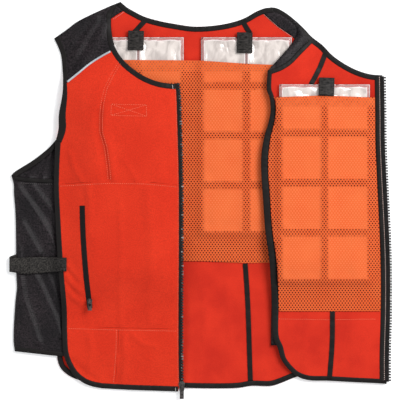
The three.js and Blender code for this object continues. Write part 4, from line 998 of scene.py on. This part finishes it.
# Left front, its lining up
leftRelief = (0.0005 * crumple(61, 0.03, 0.06) + 0.0003 * crumple(62, 0.012)
              + ridge([(73, 26), (71, 60), (72.5, 85)], 0.008, 0.0010)
              + ridge([(71, 79.5), (83, 80), (94, 79.5)], 0.003, -0.0005)
              + ridge([(76, 83), (76.5, 94)], 0.005, 0.0009) + ridge([(88, 81), (88.6, 93)], 0.006, 0.0009)
              + pucker([(75, 94), (88, 95.5), (94.6, 95.7)], 0.012, 0.008, 0.0005, 63)
              + pucker([(69, 25), (66, 42), (68.3, 77)], 0.010, 0.008, 0.0005, 64))
leftField = leftTop + leftRelief
leftSideUp = [p for p in leftSide if p.y < leftYokeSeam[-1].y - 0.001]
leftNeckFront = [p for p in leftNeck if p.x > leftYokeSeam[0].x + 0.001]
leftFrontOutline = ringOf(leftNeckFront[:-2], beside(leftZip, -0.0070), leftHem[2:], leftSideUp, leftYokeSeam[::-1])
cutCloth("leftFrontLining", leftFrontOutline, leftField, liningCloth, "left_front_panel")
leftYokeOutline = ringOf([p for p in leftNeck if p.x <= leftYokeSeam[0].x], leftYokeSeam,
                         [p for p in leftSide if p.y > leftYokeSeam[-1].y], leftRidge[::-1])
yokeFolds = (ridge([(67.3, 3.0), (70.3, 4.0), (73.5, 5.5), (74.9, 7.6), (76.6, 9.5)], 0.0034, 0.0012)
             + ridge([(68, 3.4), (70.6, 4.8), (73, 6.4), (74.2, 8.6)], 0.0030, -0.0016)
             + ridge([(76, 9.9), (74.6, 12.2), (71.5, 15.2), (68.5, 16.9)], 0.0022, -0.0014)
             + ridge([(75.2, 9.5), (73, 12.6), (69.6, 16)], 0.0030, 0.0012))
cutCloth("leftYoke", leftYokeOutline, leftField + yokeFolds + 0.0003 * crumple(65, 0.008), knitCloth,
         "left_yoke", thickness=yokeThickness)
backYokeOutline = ringOf(backLeftShoulder, backSeamLeft[::-1])
cutCloth("leftYokeBack", backYokeOutline, backField + 0.0004, knitCloth, thickness=yokeThickness)
leftLoop = ringOf(leftHem, leftSide[1:])
bindEdge("leftEdgeBinding", leftLoop, -1, leftField, "left_front_edge_binding", 9, outward=1.0,
         width={0.0: 0.0076, 0.28: 0.0080, 0.42: 0.0116, 0.80: 0.0116, 0.93: 0.0076, 1.0: 0.0074})
bindEdge("leftNeckBinding", leftNeck, -1, leftField, "left_front_neck_binding", 10)
bindEdge("leftYokeSeamBinding", leftYokeSeam[:-1], -1, leftField, None, 14, width=0.0076, middle=-0.0010)

leftSideBound = [p for p in leftSide if place(0, 24.4).y > p.y > place(0, 77.8).y]
leftMeshOutline = ringOf(polyline([(68.2, 24.4), (80.25, 23.9), (93.7, 24.4)]),
                         [p for p in beside(leftZip, -0.0128) if place(0, 24.4).y > p.y > place(0, 77.8).y],
                         polyline([(95.05, 77.8), (70, 77.8)]), beside(leftSideBound, -0.0080))
leftMeshField = over(leftField + 0.0016, packTop["leftFrontPack"]) + 0.0002 * crumple(66, 0.012)
leftMesh = cutCloth("leftMeshPocket", leftMeshOutline, leftMeshField, meshCloth,
                    "left_front_mesh_pocket", thickness=meshSizes["thickness"])
# painted shade for the left mesh's holes
markShadeBehind(leftMesh, ["leftFrontPack"], place(0, 26.6).y)

layTeeth("leftZipTeeth", leftZip, leftField, "left_zip_teeth", 1, {**teethSizes, "reach": 0.0036})
layTape("leftZipTape", beside(leftZip, -0.0015), 0.0080, leftField, tapeCloth, "left_zip_tape", seed=11)
bindEdge("leftZipBinding", beside(leftZip, -0.0050), -1, leftField, "left_zip_binding", 12, width=0.0082,
         middle=-0.0004)
print("left front laid")

# Webbing tabs over the packs, and the black tapes over the lining's seams
overBack = over(backField + 0.0024, packTop["backRightPack"], packTop["backLeftPack"]) + 0.0006
overLeft = np.fmax(leftMeshField, over(leftField + 0.0024, packTop["leftFrontPack"])) + 0.0006
tabs = {
    "backRightTab": ("back_right_tab", [(34.05, 7.7), (33.9, 12.6)], overBack, 0.0255),
    "backLeftTab": ("back_left_tab", [(61.2, 8.1), (61.1, 13.3)], overBack, 0.0250),
    "leftFrontTab": ("left_front_tab", [(81.65, 19.45), (81.5, 24.0)], overLeft, 0.0250),
}
for k, (name, (node, table, field, width)) in enumerate(tabs.items()):
    layTape(name, polyline(table, 0.002), width, soften(field, 0.004), webbingCloth, node,
            thickness=0.0018, seed=70 + k)
tapes = {
    "backRightSeamTape": ("back_right_seam_tape", [(36.5, 4.9), (33.5, 8.2)], backField),
    "backLeftSeamTape": ("back_left_seam_tape", [(60.7, 5.4), (61.6, 6.9), (62.5, 8.3)], backField),
    "backLowerSeamTape": ("back_lower_seam_tape", [(61.3, 65.9), (61.9, 75), (62.6, 95.2)], backField),
    "leftUpperSeamTape": ("left_upper_seam_tape", [(81.5, 12.9), (79.9, 17.0), (77.7, 21.2)], leftField),
    "leftLowerSeamTape": ("left_lower_seam_tape", [(83.1, 77.4), (83.0, 86), (82.35, 94.8)], leftField),
}
for k, (name, (node, table, field)) in enumerate(tapes.items()):
    layTape(name, smoothLine(table, 0.002), 0.0080, field, bindingCloth, node, seed=80 + k, rise=0.0002)

# Zipped pocket on the right front: tape, bag behind it, slider and pull from the CAD
layTape("pocketZipTape", pocketLine, 0.0085, rightField, tapeCloth, "pocket_zip_tape", rise=-0.0002,
        seed=90)
cutCloth("pocketBag", boxOutline("pocket_bag"), rightField - 0.0034, liningCloth, "pocket_bag",
         thickness=0.0008, cell=0.006)
for name in ("pocket_slider", "pocket_pull", "front_slider", "front_pull"):
    for slot in cadNodes[name].material_slots:
        slot.material = sliderMetal


# Topstitching: one small stitch after another along the seams
def sewLine(bm, table, field, pitch=0.0034, stitch=(0.0023, 0.00060), rise=0.0003):
    line = polyline(table, 0.003) if isinstance(table[0], tuple) else table
    length = lengthOf(line)
    for k in range(int(length / pitch)):
        point, left = along(line, (k + 0.5) * pitch / length)
        turn = Matrix.Rotation(math.atan2(-left.x, left.y), 4, "Z")
        scale = Matrix.Diagonal((stitch[0] / 2, stitch[1] / 2, stitch[1] / 2, 1.0))
        at = Matrix.Translation((point.x, point.y, heightAt(field, point.x, point.y) + rise))
        bmesh.ops.create_icosphere(bm, subdivisions=1, radius=1.0, matrix=at @ turn @ scale)


def sewPiece(name, tables, field, material, **sizes):
    bm = bmesh.new()
    for table in tables:
        sewLine(bm, table, field, **sizes)
    dress(newPiece(name, bm, material))


boxTack = [(27.9, 26.1), (36.6, 26.3), (36.7, 29.1), (27.8, 28.9), (27.9, 26.1)]
sewPiece("frontStitches", [
    princess, [(a + 0.7, d + 0.1) for a, d in princess], [(a, d + 0.55) for a, d in waistSeam],
    [(a, d + 0.55) for a, d in hemSeam], [(a - 0.5, d) for a, d in panelSeam], boxTack,
    [(27.9, 26.1), (36.7, 29.1)], [(36.6, 26.3), (27.8, 28.9)],
], rightField, tanThread)
# painted shadow: dark red blobs laid along the seams' grooves
sewPiece("frontSeamShadowLines", [waistSeam, hemSeam, panelSeam, [(a + 0.35, d) for a, d in princess[3:]]], rightField,
         seamShadow, pitch=0.0022, stitch=(0.0030, 0.0007), rise=0.0)
sewPiece("frontEdgeStitches", [beside(rightZip, 0.0020)], rightField, tanThread, pitch=0.0030)
sewPiece("barTacks", [[(43.1, 21.3), (43.25, 22.3)], [(43.85, 96.9), (43.9, 97.7)]], rightField, whiteThread,
         pitch=0.0008, stitch=(0.0010, 0.0009), rise=0.0012)
sewPiece("yokeStitches", [[(31.1, 2.95), (28, 5)], [(65.9, 3.6), (69.4, 6.7), (73.5, 9.6)]], backField + 0.0006,
         pinkThread, pitch=0.0024, stitch=(0.0017, 0.0008))
sewPiece("zipTapeStitches", [beside(leftZip, -0.0050)], leftField + 0.0012, coilThread, pitch=0.0030,
         stitch=(0.0022, 0.0011))
sewPiece("liningStitches", [[(69.5, 79.7), (82, 79.9), (94.4, 79.75)]], leftField, tanThread)
sewPiece("sideStitches", [[(5.2, 45.75), (9, 46.0), (13.6, 46.0)]], sideField + 0.0010, greyThread)
print("stitched")

# Floor and soft studio light
floorData = bmesh.new()
bmesh.ops.create_grid(floorData, x_segments=2, y_segments=2, size=6.0)
floorMesh = bpy.data.meshes.new("floor")
floorData.to_mesh(floorMesh)
floorData.free()
floor = bpy.data.objects.new("floor", floorMesh)
floor.location.z = -0.0004
bpy.context.scene.collection.objects.link(floor)
# Matt white paper on a lit table, which keeps the shadows pale
floorMaterial, floorAdd, floorShader, floorWhere = startMaterial("paleFloor", "#F4F4F4", {
    "Roughness": 0.9, "Emission Strength": 0.3, "Emission Color": (1.0, 1.0, 1.0, 1.0)})
paper = floorAdd("TexNoise", {"Vector": floorWhere, "Scale": 40.0})
paperWhite = floorAdd("Mix", {0: paper, 6: linear("#F6F6F6"), 7: linear("#F9F9F9")}, data_type="RGBA")
setInputs(floorShader, {"Base Color": paperWhite})
floorMesh.materials.append(floorMaterial)

lights = {
    "keyLight": {"at": (2.4, 1.7, 3.6), "size": 2.3, "power": 188.0},
    "fillLight": {"at": (-2.6, -0.6, 2.6), "size": 2.4, "power": 26.0},
}
for name, values in lights.items():
    lampData = bpy.data.lights.new(name, "AREA")
    lampData.size = values["size"]
    lampData.energy = values["power"]
    lamp = bpy.data.objects.new(name, lampData)
    lamp.location = values["at"]
    lamp.rotation_euler = (-Vector(values["at"])).to_track_quat("-Z", "Y").to_euler()
    bpy.context.scene.collection.objects.link(lamp)
world = bpy.data.worlds.new("studio")
world.use_nodes = True
world.node_tree.nodes["Background"].inputs["Color"].default_value = (0.95, 0.97, 1.0, 1.0)
world.node_tree.nodes["Background"].inputs["Strength"].default_value = 0.52
bpy.context.scene.world = world
bpy.context.scene.view_settings.view_transform = "Standard"

print("scene ready")
